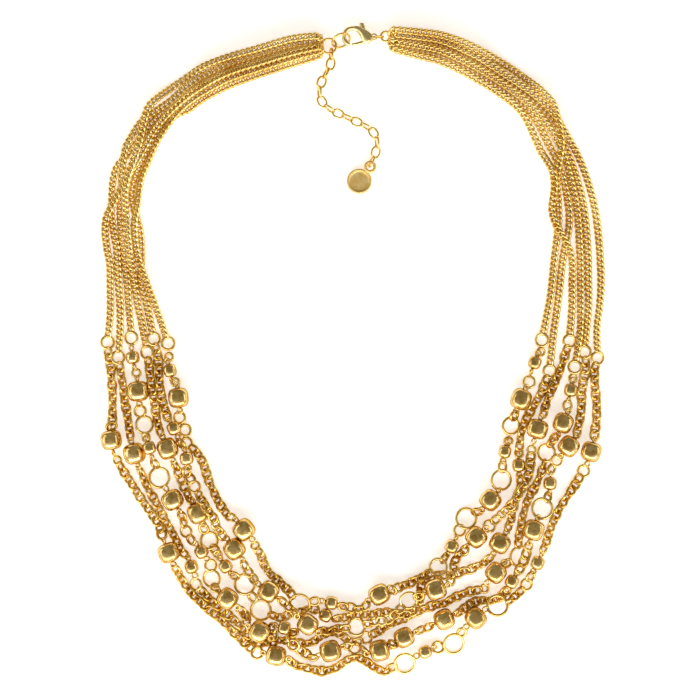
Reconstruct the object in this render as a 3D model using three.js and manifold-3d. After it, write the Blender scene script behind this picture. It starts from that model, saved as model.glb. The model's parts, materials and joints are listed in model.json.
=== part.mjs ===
// A gold coloured multi strand necklace, lying flat. Millimetres, +Z up, +Y towards the clasp.
// Six fine curb chains run down each side. Each joins, at a ring, a lower strand of cable chain
// with rings, small beads and large rounded cube beads. A lobster clasp and an extender with a
// round tag close the loop. The floor that it lies on is z = 0.

import * as THREE from "three";
import { mergeVertices } from "three/addons/utils/BufferGeometryUtils.js";
import Module from "manifold-3d";

const wasm = await Module();
wasm.setup();

// Clearances and the scale of the routes
const gap = 0.3; // between pieces that touch on the real necklace
const mmPerPixel = 0.32; // the routes below are read off a picture seen straight from above
const originPixel = { x: 353.2, y: 348.8 };

// Chains
const curbWidth = 2.0; // fine curb chain of the sides
const cableWidth = 2.4; // cable chain of the lower strands
const curbStep = 6.4; // longest straight piece of a curb chain's tube
const cableStep = 7.2;

// Beads and the pins that they are threaded on
const beadSide = 5.9;
const beadBore = 1.5;
const smallBeadSide = 3.8;
const pinWire = 0.8;

// Rings of the strands: outer diameters, and the wire that they are bent from
const ringWire = 0.8;
const ringSize = { big: 7.3, mid: 6.3, joint: 4.9, jump: 4.5, tiny: 3.4 };
const ringsInTube = ["joint", "mid", "jump", "tiny"]; // these are part of the chain's tube

// Clasp
const claspHeight = 2.8; // middle of the clasp above the floor
const hookThick = 1.6;
const baseThick = 2.7;
const leverThick = 0.9;
const leverPin = 1.0;
const hubDiameter = 2.6;
const claspBevel = 0.3;
const eyeOuter = 2.4;
const eyeHole = 1.4;
const eyeThick = 0.8;

// Rings at the clasp
const endWire = 0.6;
const leftEndRing = 5.4;
const leftEndHeight = 2.1;
const rightEndRing = 3.8;
const claspRing = 3.5;
const claspRingWire = 0.5;
const hookRing = 6.6;
const hookRingTilt = 55; // degrees from the floor

// Extender and tag
const extenderWire = 0.6;
const extenderWidth = 3.4;
const extenderLink = 4.2;
const extenderTube = 3.0;
const extenderStep = 6.5;
const extenderHeight = 1.9;
const extenderRoll = 70; // degrees from the floor, of the links at the ends
const tagDiameter = 8.0;
const tagThick = 1.2;
const rimWidth = 0.7;
const rimHeight = 0.5;
const lugDiameter = 4.1;
const lugHole = 2.2;
const lugThick = 1.0;

// How strands lie over each other
const steepest = 0.6; // rise of a chain for each millimetre along it
const settlePasses = 400;
const sampleStep = 1.1;

// Facets
const tubeSides = 8;
const ringSides = 10;
const wireSides = 5;
const beadSides = 8;
const tagSides = 18;

const gold = { bead: "#b08a3a", chain: "#c99a45", ring: "#d9b25f", clasp: "#e0bd6a" };

// Routes, in pixels of the picture, each from the left end to the right end. A bare pair is a
// point that a chain passes. A named stop is a ring (big, mid, joint, jump, tiny), a large bead
// or a small bead.
const routes = {
  strand_1: [
    ["joint", 108, 342.5], [108.5, 354], [111, 366], [112, 380], [113, 396], [113, 412], [112.5, 426],
    ["bead", 112.5, 439.5], ["tiny", 118, 460], [122, 468], [127, 476], [133, 485], [139, 495],
    [146, 505], [154, 516], [160, 526], [164, 537], ["bead", 170, 551], [176, 566], [180, 575],
    [185, 584], [191, 592], [198, 599], [206, 606], [214, 613], [222, 620], [230, 628], [238, 636],
    [247, 644], ["jump", 257.5, 651.5], ["bead", 276.5, 653.5], [290, 659], [299, 665], [309, 668],
    [324, 670.5], [338, 666], [347, 659.5], [357, 657], [366, 661], [375, 667], [384, 671],
    [392, 667], ["big", 404.6, 662.7], ["small", 425, 651], ["jump", 437.7, 646.6],
    ["big", 453.5, 643], ["bead", 475, 616.5], ["big", 496.5, 603.8], [509, 600], [515, 595],
    [521, 590], ["jump", 526, 584], ["small", 537, 562.3], [542.5, 550], [546, 542], [548, 535],
    [551.5, 525], [556, 514], [561.5, 504.5], [569, 493], [575, 484], ["jump", 583, 470.7],
    ["bead", 589.8, 451.2], [593.5, 437], [596, 420], [596, 402], [594.5, 386], [594, 371],
    ["joint", 597, 358],
  ],
  strand_2: [
    ["joint", 118.5, 357.5], [121, 372], [123.5, 386], [125, 400], [127.5, 413], [129.5, 426],
    [131.5, 438], ["bead", 135.5, 453], [140, 468], [144, 477], [148, 487], [154, 498], [161, 511],
    [167, 523], [173, 533], [178, 542], [184, 553], ["small", 192, 566], ["jump", 196.5, 584],
    [205, 593], [212, 600], [220, 607], [228, 614], [236, 621], [244, 629], [251, 636.5],
    [259, 642.5], [268, 642.5], [277, 640], [287, 640], [297, 642], [306, 643], [315, 640],
    [322, 634.5], [331, 631.5], [340, 633.5], [348, 639], [357, 641], ["jump", 366, 637], [376, 632],
    [384, 627], [393, 622], ["tiny", 404.5, 618], [414, 613], [422, 609], [430, 606], [438, 604],
    [446, 602], [452, 598], [459, 595], [466, 592], [475, 590], ["tiny", 484, 588],
    ["bead", 495, 571.5], [505, 563], ["big", 519.5, 556], [518, 541], [520, 528], [523, 514],
    [527, 501], [533.5, 488], [538, 479], [542, 469], ["mid", 546, 452.5], [553, 438],
    ["bead", 562, 422.6], [566.5, 407], ["small", 570, 390], ["tiny", 572.4, 378.4],
    ["joint", 574.3, 367],
  ],
  strand_3: [
    ["joint", 131.8, 338], ["small", 133.5, 357.5], ["tiny", 137, 373], ["bead", 139.3, 391],
    ["jump", 140.7, 411], ["mid", 145, 424.5], ["tiny", 147.5, 436.7], ["small", 151, 447],
    ["big", 160, 477], ["bead", 173.5, 499], [182, 514], ["jump", 186.5, 531], [193, 541],
    ["small", 202, 551], ["jump", 211, 565], ["mid", 212, 578], ["tiny", 215.4, 586.5],
    ["bead", 228.2, 597], [240, 607], [247, 616], ["bead", 260.3, 629.5], [273, 630],
    ["small", 284.5, 626.3], [290, 635], ["jump", 294, 643], [303, 650], [313, 656],
    ["bead", 330.5, 649.3], [345, 644], ["jump", 354.6, 647.5], [364, 649], ["bead", 379.4, 648.8],
    [392, 642], ["bead", 403.8, 636], [417, 630], [424, 628], [431, 625], ["bead", 443.7, 617.8],
    [457, 612], [465, 607], [473, 602], [482, 600], [491, 600], [500, 596], [506, 589],
    ["small", 511, 580.5], [517, 571], [523, 560], ["tiny", 527.5, 545.5], ["bead", 532.3, 528.7],
    ["big", 541, 507.5], [547.5, 495], ["small", 549.3, 483], [549, 472], ["jump", 556, 460],
    ["bead", 567.5, 445.8], [576, 434], [579, 421], [581, 407], [581, 394], [583, 380],
    [585.5, 365], ["joint", 584, 352],
  ],
  strand_4: [
    ["joint", 147.5, 352.5], [149.5, 366], [151, 379], [153, 392], [155.5, 406], [157.5, 420],
    [161.5, 433], ["bead", 168.5, 448], [175, 463], [179, 473], [183, 482], [187, 492],
    [192, 500.5], ["bead", 199, 512], [203.5, 525], ["mid", 209.5, 540], ["tiny", 218, 554],
    ["small", 226, 565.6], [233, 574], ["big", 245, 583.7], ["big", 261, 609.5], [276, 616],
    [283, 617], [290, 613], [299, 612], [308, 608], [316, 609], ["small", 325.6, 614.5],
    [336, 618], [345, 617], [354, 614], [363, 614], [372, 614], [381, 612], [389, 611], [398, 612],
    [407, 613], [414, 609], [419, 601], [420, 591], [423, 582], [430, 576], [438, 574], [447, 575],
    [454, 575], [461, 571], [468, 570], [476, 566], [484, 562], [490, 556], ["bead", 499, 542.2],
    [507, 528], [511, 518], [512, 509], [515, 499], [519, 489], [519.5, 478], ["small", 518.2, 465],
    ["tiny", 518.8, 453], [520, 438], [523, 426], [528, 415], [533, 406], [538, 398], [543, 388],
    ["joint", 549, 371],
  ],
  strand_5: [
    ["joint", 154, 339], [158, 354], [159.5, 368], [160, 382], [161.5, 396], [165, 408],
    [169, 418], ["small", 174.5, 428], [181, 442], ["small", 187.5, 458], [187, 471],
    ["jump", 195.5, 486], [203, 498], [209, 507], [214, 515], [218, 525], [225, 536],
    ["bead", 235, 548], [244, 561], [249, 571], [256, 580], ["bead", 269, 590], [281, 598],
    [289, 605], [297, 612], ["bead", 308.2, 621.6], [320, 629], [328, 629.5], [336, 628],
    ["mid", 356.4, 626], [369, 622], [377, 619], [386, 618], [393, 613], ["mid", 408.2, 598.4],
    ["bead", 435, 587.3], [449, 582], [452, 572], [454, 562], [458, 555], [465, 548],
    ["bead", 475.4, 536], ["jump", 488.7, 525.2], ["tiny", 500.4, 514], [508, 507], [514, 499],
    [519, 491], [524, 482], [528, 471], [529.5, 461], ["tiny", 531, 449.7], ["bead", 536.3, 428.5],
    [542, 414], [546, 402], [551, 391], [557, 377], [561.5, 365], [565, 354], ["joint", 569, 341],
  ],
  strand_6: [
    ["joint", 168.5, 343.5], ["tiny", 169.5, 357], ["small", 170.5, 370.5], ["tiny", 176, 382],
    ["bead", 179.3, 397.5], ["jump", 180, 417.5], ["jump", 185.5, 430], ["jump", 187, 443],
    [196, 451], [202, 460], [206, 470], [209, 480], [213, 489], [217, 498], [222, 507], [230, 516],
    ["bead", 244.5, 528.8], ["tiny", 255.5, 545.7], [261, 555], [265, 565], [271, 574], [279, 581],
    [287, 588], ["big", 300, 602.5], [316, 600], ["small", 331.4, 602], [341, 605], [349, 606],
    [358, 608], [366, 604], ["bead", 379.2, 593.3], [392, 589], [400, 586], [409, 583], [417, 578],
    [426, 574], ["mid", 437.7, 566], [445, 556], ["small", 451.3, 545.7], ["jump", 459.3, 530],
    ["big", 466, 518], ["bead", 489.7, 499.4], ["big", 500.5, 479.5], ["small", 504.3, 451.4],
    ["tiny", 508, 441], ["mid", 510.4, 425.7], ["bead", 520.2, 399], ["jump", 528.7, 382],
    ["small", 534.2, 362.6], ["tiny", 540.3, 352], ["joint", 541.5, 340],
  ],
};

// Which joint ring of which strand each curb chain runs down to, and the chain's own route.
// The first pair of a route is at the end ring of the clasp.
const sideChains = {
  left_chain_1: { strand: "strand_1", end: "first", route: [
    [318, 49.4], [292, 55.3], [259.5, 65], [228, 75], [207, 85.5], [192, 95.5], [177, 108], [165, 120],
    [154, 133], [146, 147], [139, 160], [131, 174], [124, 187], [116, 202], [108.5, 216], [106, 231],
    [107, 247], [110, 264], [110.6, 290], [110.6, 312], [110, 328]] },
  left_chain_2: { strand: "strand_2", end: "first", route: [
    [318, 45.8], [292, 50.7], [259.5, 60.2], [227, 70.5], [205.5, 81], [189, 92], [174, 105.5],
    [160, 116], [148, 128], [137, 143], [126, 157], [117, 168], [112.8, 184], [112, 200], [111.5, 214],
    [113.5, 230], [117, 248], [118, 265], [119, 285], [120.5, 307], [120.5, 328], [119.5, 343]] },
  left_chain_3: { strand: "strand_3", end: "first", route: [
    [318, 42], [292, 46], [259, 55.5], [226.5, 66], [204, 76.5], [186, 88.5], [171, 102.5], [157, 111.5],
    [143, 121], [133, 136], [126.5, 149], [124.5, 162], [122.5, 178], [121.5, 194], [120.5, 212],
    [121.5, 230], [124, 248], [125.5, 265], [127.5, 285], [129, 305], [131, 322]] },
  left_chain_4: { strand: "strand_4", end: "first", route: [
    [318, 38.4], [292, 41.4], [259, 50.8], [226, 60], [203, 68.5], [182, 81.5], [160, 97.5],
    [149.5, 109], [145, 124], [141, 142], [136, 160], [130.5, 176], [127.5, 190], [127, 212],
    [128.5, 230], [130.5, 248], [132.5, 265], [135, 285], [138, 305], [142, 323], [145.5, 338]] },
  left_chain_5: { strand: "strand_5", end: "first", route: [
    [318, 56.6], [292, 64.6], [260, 74.6], [231, 85], [212, 94], [198, 102.5], [189, 109.5], [177, 114.5],
    [166, 123], [156, 136], [149, 149], [142.5, 162], [136.5, 176], [133, 190], [133, 203], [136.5, 217],
    [140, 230], [141.5, 245], [141.5, 260], [141, 274], [143, 288], [147, 305], [151, 324]] },
  left_chain_6: { strand: "strand_6", end: "first", route: [
    [318, 53], [292, 60], [260, 69.8], [229.5, 80], [209.5, 90], [195, 99], [183, 108.5], [173.5, 119],
    [165.5, 130], [158, 142], [152, 155], [146.5, 168], [141.5, 181], [139.5, 194], [138, 208],
    [135.5, 222], [135.5, 236], [137, 250], [140.5, 264], [146, 279], [151, 294], [156.5, 309],
    [162.5, 327]] },
  right_chain_1: { strand: "strand_6", end: "last", route: [
    [394, 32.4], [416, 34.5], [440, 37.4], [465, 45.5], [486.5, 55.4], [507.5, 67], [527, 81], [543, 95],
    [552, 106.5], [555.5, 118], [558, 131], [559.5, 144], [558.5, 157], [556.5, 169], [555.5, 182],
    [557, 195], [558, 208], [558, 222], [556.5, 238], [554, 256], [552, 276], [550, 295], [547, 312],
    [543.5, 326]] },
  right_chain_2: { strand: "strand_4", end: "last", route: [
    [394, 47], [415, 51.5], [438, 56.5], [460, 66], [480.5, 77], [500, 89.5], [519, 103.5],
    [529.5, 112.5], [537, 122.5], [543, 134], [548.5, 145.5], [554, 156.5], [559, 169], [563.5, 183],
    [566.5, 197.5], [568.5, 211], [568.7, 226], [566.3, 240], [563.2, 255], [560.5, 275],
    [558.5, 295], [556, 314], [553, 334], [550.5, 355]] },
  right_chain_3: { strand: "strand_5", end: "last", route: [
    [394, 50.7], [414, 56], [437, 61.5], [458, 70.5], [478, 81.5], [497, 93.5], [515, 107],
    [523, 116], [529.4, 127], [535, 139.5], [540.5, 152], [546, 162], [551, 173], [553, 186],
    [552, 199], [551, 211], [554.5, 224.5], [562, 237.5], [569, 251], [571.5, 266], [571.5, 285],
    [571.5, 305], [570.5, 325]] },
  right_chain_4: { strand: "strand_2", end: "last", route: [
    [394, 43.3], [415, 47], [438.5, 51.5], [461.5, 61.5], [483, 72.5], [502.5, 85], [522.5, 100],
    [533.5, 110], [543, 120.5], [550.5, 131.5], [557, 143.5], [562.5, 155], [566.5, 167.5],
    [570.5, 182], [574, 196.5], [576.5, 211], [578, 227], [579, 243], [579.7, 260], [580, 285],
    [580, 308], [579.5, 330], [576.5, 352]] },
  right_chain_5: { strand: "strand_3", end: "last", route: [
    [394, 39.7], [415.5, 42.5], [439, 46.5], [462.5, 56.5], [484, 67.5], [504.5, 80.5], [526.5, 96.5],
    [538, 106.5], [547.5, 117], [555, 129], [561.5, 141.5], [567, 153], [572.5, 166.5], [577, 181],
    [581, 195.5], [583.7, 210], [585.5, 226], [586.7, 242], [587.6, 260], [588, 285], [588, 308],
    [586.5, 326], [585, 340]] },
  right_chain_6: { strand: "strand_1", end: "last", route: [
    [394, 36], [416, 38.5], [439.5, 42], [463.5, 51.5], [480, 60], [497, 71], [512, 81], [527, 91],
    [541, 102], [552, 113.5], [560.5, 126.5], [568.5, 140], [575.5, 152], [581.5, 165],
    [586.5, 179], [591, 194], [594.5, 209], [596.8, 224], [598.5, 240], [599.8, 258], [600.5, 285],
    [599, 308], [596.5, 328], [596.5, 345]] },
};

// Chains listed later lie over chains listed earlier
const chainOrder = {
  left: ["left_chain_2", "left_chain_5", "left_chain_3", "left_chain_6", "left_chain_1", "left_chain_4"],
  right: ["right_chain_5", "right_chain_2", "right_chain_6", "right_chain_4", "right_chain_1",
    "right_chain_3"],
};
const strandOrder = ["strand_2", "strand_4", "strand_3", "strand_1", "strand_6", "strand_5"];

const extenderRoute = [
  [331.2, 54.8], [330.7, 65], [325.6, 75], [320.7, 85.6], [319.7, 94], [322.4, 103], [331.2, 110.8],
  [343.1, 116.4], [352.2, 120.6], [363.9, 126.2], [372.6, 132.5], [376.8, 141.7], [376, 151.5],
  [371.7, 162.1],
];

// Places at the clasp and the tag, in the same pixels
const place = {
  leftEnd: [329, 47],
  rightEnd: [385.6, 37.8],
  hookBar: [344.2, 40.6],
  pivot: [365.6, 40.6],
  eye: [373.9, 38.3],
  tag: [359.2, 181.6],
  lug: [370.5, 166.9],
};
const claspOutline = {
  hook: [[350.4, 44.9], [350.4, 47.6], [346.5, 47], [343.2, 43.6], [341.9, 38.6], [343, 33], [346.5, 29],
    [351.7, 27.4], [358, 27.7], [364, 30], [368.5, 33.2], [366, 37], [361.5, 38], [359, 35],
    [355.5, 32.2], [350.5, 31.4], [346.9, 34], [345.6, 38.4], [347, 42.4]],
  base: [[355.2, 27.3], [360, 27.8], [364.5, 29.9], [369, 33.2], [372.2, 36], [372.6, 40], [369.6, 44.6],
    [366, 46], [362.6, 44.8], [360.7, 39.7], [358.8, 35.4], [355.2, 32]],
  tab: [[363.9, 38], [363, 33.4], [361.4, 29.6], [358.6, 25.8], [358.8, 24.2], [363, 23.8], [364.2, 25.4],
    [365.4, 29.6], [366.6, 33.6], [367.6, 38]],
  gate: [[367, 42], [365, 44.2], [358, 46], [351.5, 47.1], [351.5, 44.9], [357, 43.9], [363.2, 41]],
};
const slotSpan = { left: 357, right: 371, top: 20, bottom: 52 };

const toX = (pixelX) => (pixelX - originPixel.x) * mmPerPixel;
const toY = (pixelY) => (originPixel.y - pixelY) * mmPerPixel;
const radians = THREE.MathUtils.degToRad;
const flat = (pair) => new THREE.Vector2(toX(pair[0]), toY(pair[1]));

// A closed three.js geometry as a solid that can be joined and cut
function solid(geometry) {
  const bare = geometry.clone();
  bare.deleteAttribute("normal");
  bare.deleteAttribute("uv");
  const merged = mergeVertices(bare, 1e-4);
  const corners = merged.index.array;
  const triVerts = [];
  for (let i = 0; i < corners.length; i += 3) {
    const [a, b, c] = [corners[i], corners[i + 1], corners[i + 2]];
    if (a !== b && b !== c && c !== a) triVerts.push(a, b, c);
  }
  return new wasm.Manifold(new wasm.Mesh({
    numProp: 3,
    vertProperties: new Float32Array(merged.attributes.position.array),
    triVerts: new Uint32Array(triVerts),
  }));
}

function joined(solids) {
  return solids.reduce((all, next) => all.add(next));
}

function pieceOf(name, body, colour, roughness = 0.28) {
  const shape = body.getMesh();
  const geometry = new THREE.BufferGeometry();
  geometry.setAttribute("position", new THREE.BufferAttribute(shape.vertProperties, 3));
  geometry.setIndex(new THREE.BufferAttribute(shape.triVerts, 1));
  geometry.computeVertexNormals();
  const material = new THREE.MeshStandardMaterial({ color: colour, roughness, metalness: 1 });
  const mesh = new THREE.Mesh(geometry, material);
  mesh.name = name;
  return mesh;
}

// A rod through stations, each with its place, its half width and how square it is: 2 is round
// and 4 a rounded square. Two stations at one place make a step. The flats face up and sideways.
// A bored rod has a hole from its last station back to its first.
function rod(stations, sides, bored = false) {
  const places = [];
  const last = stations.length - 1;
  const up = new THREE.Vector3(0, 0, 1);
  stations.forEach((station, k) => {
    const before = stations.slice(0, k).findLast((one) => one.place.distanceTo(station.place) > 0);
    const after = stations.slice(k).find((one) => one.place.distanceTo(station.place) > 0);
    const arriving = before ? station.place.clone().sub(before.place).normalize() : new THREE.Vector3();
    const leaving = after ? after.place.clone().sub(station.place).normalize() : new THREE.Vector3();
    const along = (station.along ?? arriving.add(leaving)).clone().normalize();
    const across = new THREE.Vector3().crossVectors(up, along).normalize();
    const rise = new THREE.Vector3().crossVectors(along, across);
    for (let i = 0; i < sides; i += 1) {
      const angle = (2 * Math.PI * (i + 0.5)) / sides;
      const [c, s] = [Math.cos(angle), Math.sin(angle)];
      const power = station.square ?? 2;
      const radius = station.half / (Math.abs(c) ** power + Math.abs(s) ** power) ** (1 / power);
      const corner = station.place.clone();
      corner.addScaledVector(across, radius * c).addScaledVector(rise, radius * s);
      places.push(...corner.toArray());
    }
  });
  const triangles = [];
  for (let k = 0; k < last + (bored ? 1 : 0); k += 1) {
    for (let i = 0; i < sides; i += 1) {
      const [near, far, j] = [k * sides, ((k + 1) % stations.length) * sides, (i + 1) % sides];
      triangles.push(near + i, near + j, far + j, near + i, far + j, far + i);
    }
  }
  for (let i = 1; i < sides - 1 && !bored; i += 1) {
    triangles.push(0, i + 1, i, last * sides, last * sides + i, last * sides + i + 1);
  }
  const geometry = new THREE.BufferGeometry();
  geometry.setAttribute("position", new THREE.Float32BufferAttribute(places, 3));
  geometry.setIndex(triangles);
  return geometry;
}

function tube(points, diameter) {
  return solid(rod(points.map((place) => ({ place, half: diameter / 2 })), tubeSides));
}

// A round ring in the floor's plane, of an outer diameter
function ring(outerDiameter, wire) {
  return new THREE.TorusGeometry((outerDiameter - wire) / 2, wire / 2, wireSides, ringSides);
}

// A ring drawn out along X to a longer link
function link(length, width, wire) {
  const geometry = ring(width, wire);
  const places = geometry.attributes.position;
  const stretch = (length - width) / 2;
  for (let i = 0; i < places.count; i += 1) {
    places.setX(i, places.getX(i) + Math.sign(places.getX(i)) * stretch);
  }
  return geometry;
}

// Sections of a rounded cube, as shares of its half side
const cubeSections = [
  { at: -1, half: 0.7, square: 3 }, { at: -0.62, half: 1, square: 4 },
  { at: 0.62, half: 1, square: 4 }, { at: 1, half: 0.7, square: 3 },
];
function cubeStations(centre, axis, side) {
  return cubeSections.map(({ at, half, square }) => ({
    place: centre.clone().addScaledVector(axis, (at * side) / 2), half: (half * side) / 2, square, along: axis,
  }));
}

// Heights. Every stop and every bend of a chain has a knot, whose height is settled so that
// what crosses lies over and under with a gap. Samples are balls that stand for the surfaces.
const knots = { z: [], floor: [] };
const samples = [];
const slopes = [];

function addKnot(floor) {
  knots.z.push(floor);
  knots.floor.push(floor);
  return knots.z.length - 1;
}

function addSample(sample) {
  samples.push({ reach: 0, share: 0, ...sample, b: sample.b ?? sample.a });
}

function sampleRun(run, radius, owner, rank) {
  for (let i = 0; i < run.length - 1; i += 1) {
    const [from, to] = [run[i], run[i + 1]];
    const length = Math.hypot(to.x - from.x, to.y - from.y);
    if (from.knot !== to.knot) slopes.push({ a: from.knot, b: to.knot, rise: length * steepest });
    const count = Math.max(1, Math.ceil(length / sampleStep));
    for (let k = 0; k <= count; k += 1) {
      const share = k / count;
      const [x, y] = [from.x + (to.x - from.x) * share, from.y + (to.y - from.y) * share];
      addSample({ x, y, radius, a: from.knot, b: to.knot, share, owner, rank });
    }
  }
}

// A chain's bends, as evenly spaced points on a smooth curve through the chosen ones
function evenly(points, longest) {
  const curve = new THREE.CatmullRomCurve3(points.map((p) => new THREE.Vector3(p.x, p.y, 0)));
  const count = Math.max(1, Math.ceil(curve.getLength() / longest));
  return curve.getSpacedPoints(count).map((p) => ({ x: p.x, y: p.y }));
}

function stopOf(entry) {
  const [kind, x, y] = entry;
  const stop = { kind, x: toX(x), y: toY(y) };
  if (kind === "bead") return { ...stop, group: "bead", size: beadSide, reach: beadSide / 2 + gap };
  if (kind === "small") return { ...stop, group: "small", size: smallBeadSide, reach: smallBeadSide / 2 };
  const size = ringSize[kind];
  const inTube = ringsInTube.includes(kind);
  return { ...stop, group: "ring", size, inTube, reach: inTube ? 0 : (size - ringWire) / 2 };
}

// Reads a strand's route into its stops and the spans of chain or pin between them
function readStrand(name) {
  const entries = routes[name].map((entry) => (
    typeof entry[0] === "string" ? stopOf(entry) : { x: toX(entry[0]), y: toY(entry[1]) }
  ));
  const stops = entries.filter((entry) => entry.kind);
  stops.forEach((stop) => { stop.knot = addKnot((stop.group === "ring" ? cableWidth : stop.size) / 2); });
  entries.forEach((entry, i) => {
    if (!entry.kind) return;
    const before = entries[i - 1] ?? entry;
    const after = entries[i + 1] ?? entry;
    entry.axis = new THREE.Vector3(after.x - before.x, after.y - before.y, 0).normalize();
    const aim = (other) => new THREE.Vector3(other.x - entry.x, other.y - entry.y, 0).normalize();
    const threaded = entry.group === "bead" || entry.group === "small";
    const leave = threaded ? entry.axis : aim(after);
    const arrive = threaded ? entry.axis.clone().negate() : aim(before);
    const { x, y, knot, reach } = entry;
    entry.after = { x: x + leave.x * reach, y: y + leave.y * reach, knot };
    entry.before = { x: x + arrive.x * reach, y: y + arrive.y * reach, knot };
  });
  const spans = [];
  let from = 0;
  for (let i = 1; i < entries.length; i += 1) {
    if (!entries[i].kind || (entries[i].inTube && i < entries.length - 1)) continue;
    spans.push(readSpan(entries.slice(from, i + 1)));
    from = i;
  }
  return { name, stops, spans };
}

// The chain or pin from one stop to the next, through its bends and through small rings
function readSpan(entries) {
  const points = [entries[0].after];
  let loose = [];
  for (const entry of entries.slice(1)) {
    if (!entry.kind) {
      loose.push(entry);
      continue;
    }
    if (loose.length > 0) {
      const bends = evenly([points.at(-1), ...loose, entry.before], cableStep).slice(1, -1);
      bends.forEach((bend) => points.push({ ...bend, knot: addKnot(cableWidth / 2) }));
    }
    points.push(entry.before);
    loose = [];
  }
  const width = points.length > 2 ? cableWidth : pinWire;
  return { from: entries[0], to: entries.at(-1), points, width };
}

function sampleStrand(strand) {
  const rank = strandOrder.indexOf(strand.name) / strandOrder.length;
  const owner = strand.name;
  strand.spans.forEach(({ points, width }) => sampleRun(points, width / 2, owner, rank));
  for (const stop of strand.stops) {
    const common = { a: stop.knot, owner, rank };
    if (stop.group === "ring") {
      const radius = (stop.size - ringWire) / 2;
      for (let k = 0; k < 2 * ringSides && !stop.inTube; k += 1) {
        const angle = (Math.PI * k) / ringSides;
        const [x, y] = [stop.x + radius * Math.cos(angle), stop.y + radius * Math.sin(angle)];
        addSample({ ...common, x, y, radius: ringWire / 2 });
      }
      continue;
    }
    const corner = stop.size * 0.3;
    const inset = stop.size * 0.2;
    for (const [u, v] of [[1, 1], [1, -1], [-1, 1], [-1, -1]]) {
      const x = stop.x + inset * (u * stop.axis.x - v * stop.axis.y);
      const y = stop.y + inset * (u * stop.axis.y + v * stop.axis.x);
      addSample({ ...common, x, y, radius: corner, reach: inset });
    }
  }
}

function readSideChain(name, strands) {
  const { strand, end, route } = sideChains[name];
  const stops = strands.find((one) => one.name === strand).stops;
  const joint = end === "first" ? stops[0] : stops.at(-1);
  const points = route.map(([x, y]) => ({ x: toX(x), y: toY(y) }));
  const last = points.at(-1);
  const away = new THREE.Vector2(last.x - joint.x, last.y - joint.y).normalize();
  const reach = joint.inTube ? 2 * gap : joint.size / 2 + gap;
  points[points.length - 1] = { x: joint.x + away.x * reach, y: joint.y + away.y * reach };
  const bends = evenly(points, curbStep);
  const run = bends.map((bend) => ({ ...bend, knot: addKnot(curbWidth / 2) }));
  run.at(-1).knot = joint.knot;
  const order = name.startsWith("left") ? chainOrder.left : chainOrder.right;
  sampleRun(run, curbWidth / 2, strand, order.indexOf(name) / order.length);
  return { name, run };
}

// Raises knots until every crossing has its gap and no chain is too steep
function settle() {
  const crossings = [];
  for (let i = 0; i < samples.length; i += 1) {
    for (let j = i + 1; j < samples.length; j += 1) {
      const [p, q] = [samples[i], samples[j]];
      if (p.owner === q.owner) continue;
      const room = p.radius + q.radius + gap;
      const away = Math.hypot(p.x - q.x, p.y - q.y);
      if (away >= room) continue;
      const height = Math.sqrt(room ** 2 - away ** 2) + p.reach + q.reach;
      crossings.push(p.rank < q.rank ? { low: p, high: q, height } : { low: q, high: p, height });
    }
  }
  const { z } = knots;
  const heightOf = (s) => z[s.a] * (1 - s.share) + z[s.b] * s.share;
  for (let pass = 0; pass < settlePasses; pass += 1) {
    const raise = z.map(() => 0);
    for (const { low, high, height } of crossings) {
      const lack = heightOf(low) + height - heightOf(high);
      if (lack <= 0) continue;
      const [u, v] = high.a === high.b ? [1, 0] : [1 - high.share, high.share];
      raise[high.a] = Math.max(raise[high.a], (lack * u) / (u ** 2 + v ** 2));
      raise[high.b] = Math.max(raise[high.b], (lack * v) / (u ** 2 + v ** 2));
    }
    for (const { a, b, rise } of slopes) {
      raise[a] = Math.max(raise[a], z[b] - rise - z[a]);
      raise[b] = Math.max(raise[b], z[a] - rise - z[b]);
    }
    raise.forEach((amount, i) => { z[i] += amount; });
  }
}

const spot = (point) => new THREE.Vector3(point.x, point.y, knots.z[point.knot]);

// Stations of one stop of a strand, between the spans before and after it
function stopStations(stop) {
  if (stop.kind === "small") return cubeStations(spot(stop), stop.axis, smallBeadSide);
  const pin = pinWire / 2;
  return [stop.before, stop.after].map((point) => ({ place: spot(point), half: pin, along: stop.axis }));
}

function strandPiece(strand) {
  const parts = [];
  let stations = [];
  for (const { from, to, points, width } of strand.spans) {
    if (from.kind === "bead" || from.kind === "small") stations.push(...stopStations(from));
    const blends = (stop) => stop.kind === "small" && width === cableWidth;
    const first = blends(from) ? 1 : 0;
    const last = blends(to) ? points.length - 1 : points.length;
    stations.push(...points.slice(first, last).map((point) => {
      const end = [from, to].find((stop) => stop.group === "bead" && [stop.after, stop.before].includes(point));
      return { place: spot(point), half: width / 2, along: end?.axis };
    }));
    if (to.group === "ring") {
      parts.push(solid(rod(stations, tubeSides)));
      stations = [];
    }
  }
  for (const stop of strand.stops.filter(({ group, inTube }) => group === "ring" && !inTube)) {
    const { x, y, z } = spot(stop);
    parts.push(solid(ring(stop.size, ringWire).translate(x, y, z)));
  }
  return pieceOf(strand.name, joined(parts), gold.chain);
}

function beadPieces(strands) {
  const beads = strands.flatMap((strand) => strand.stops.filter((stop) => stop.kind === "bead"));
  return beads.map((stop, i) => {
    const [first, ...others] = cubeStations(spot(stop), stop.axis, beadSide);
    const [hole, end] = [beadBore / 2, others.at(-1)];
    const walls = [{ ...first, half: hole, square: 2 }, first, ...others, { ...end, half: hole, square: 2 }];
    return pieceOf(`bead_${String(i + 1).padStart(2, "0")}`, solid(rod(walls, beadSides, true)), gold.bead, 0.2);
  });
}

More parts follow.
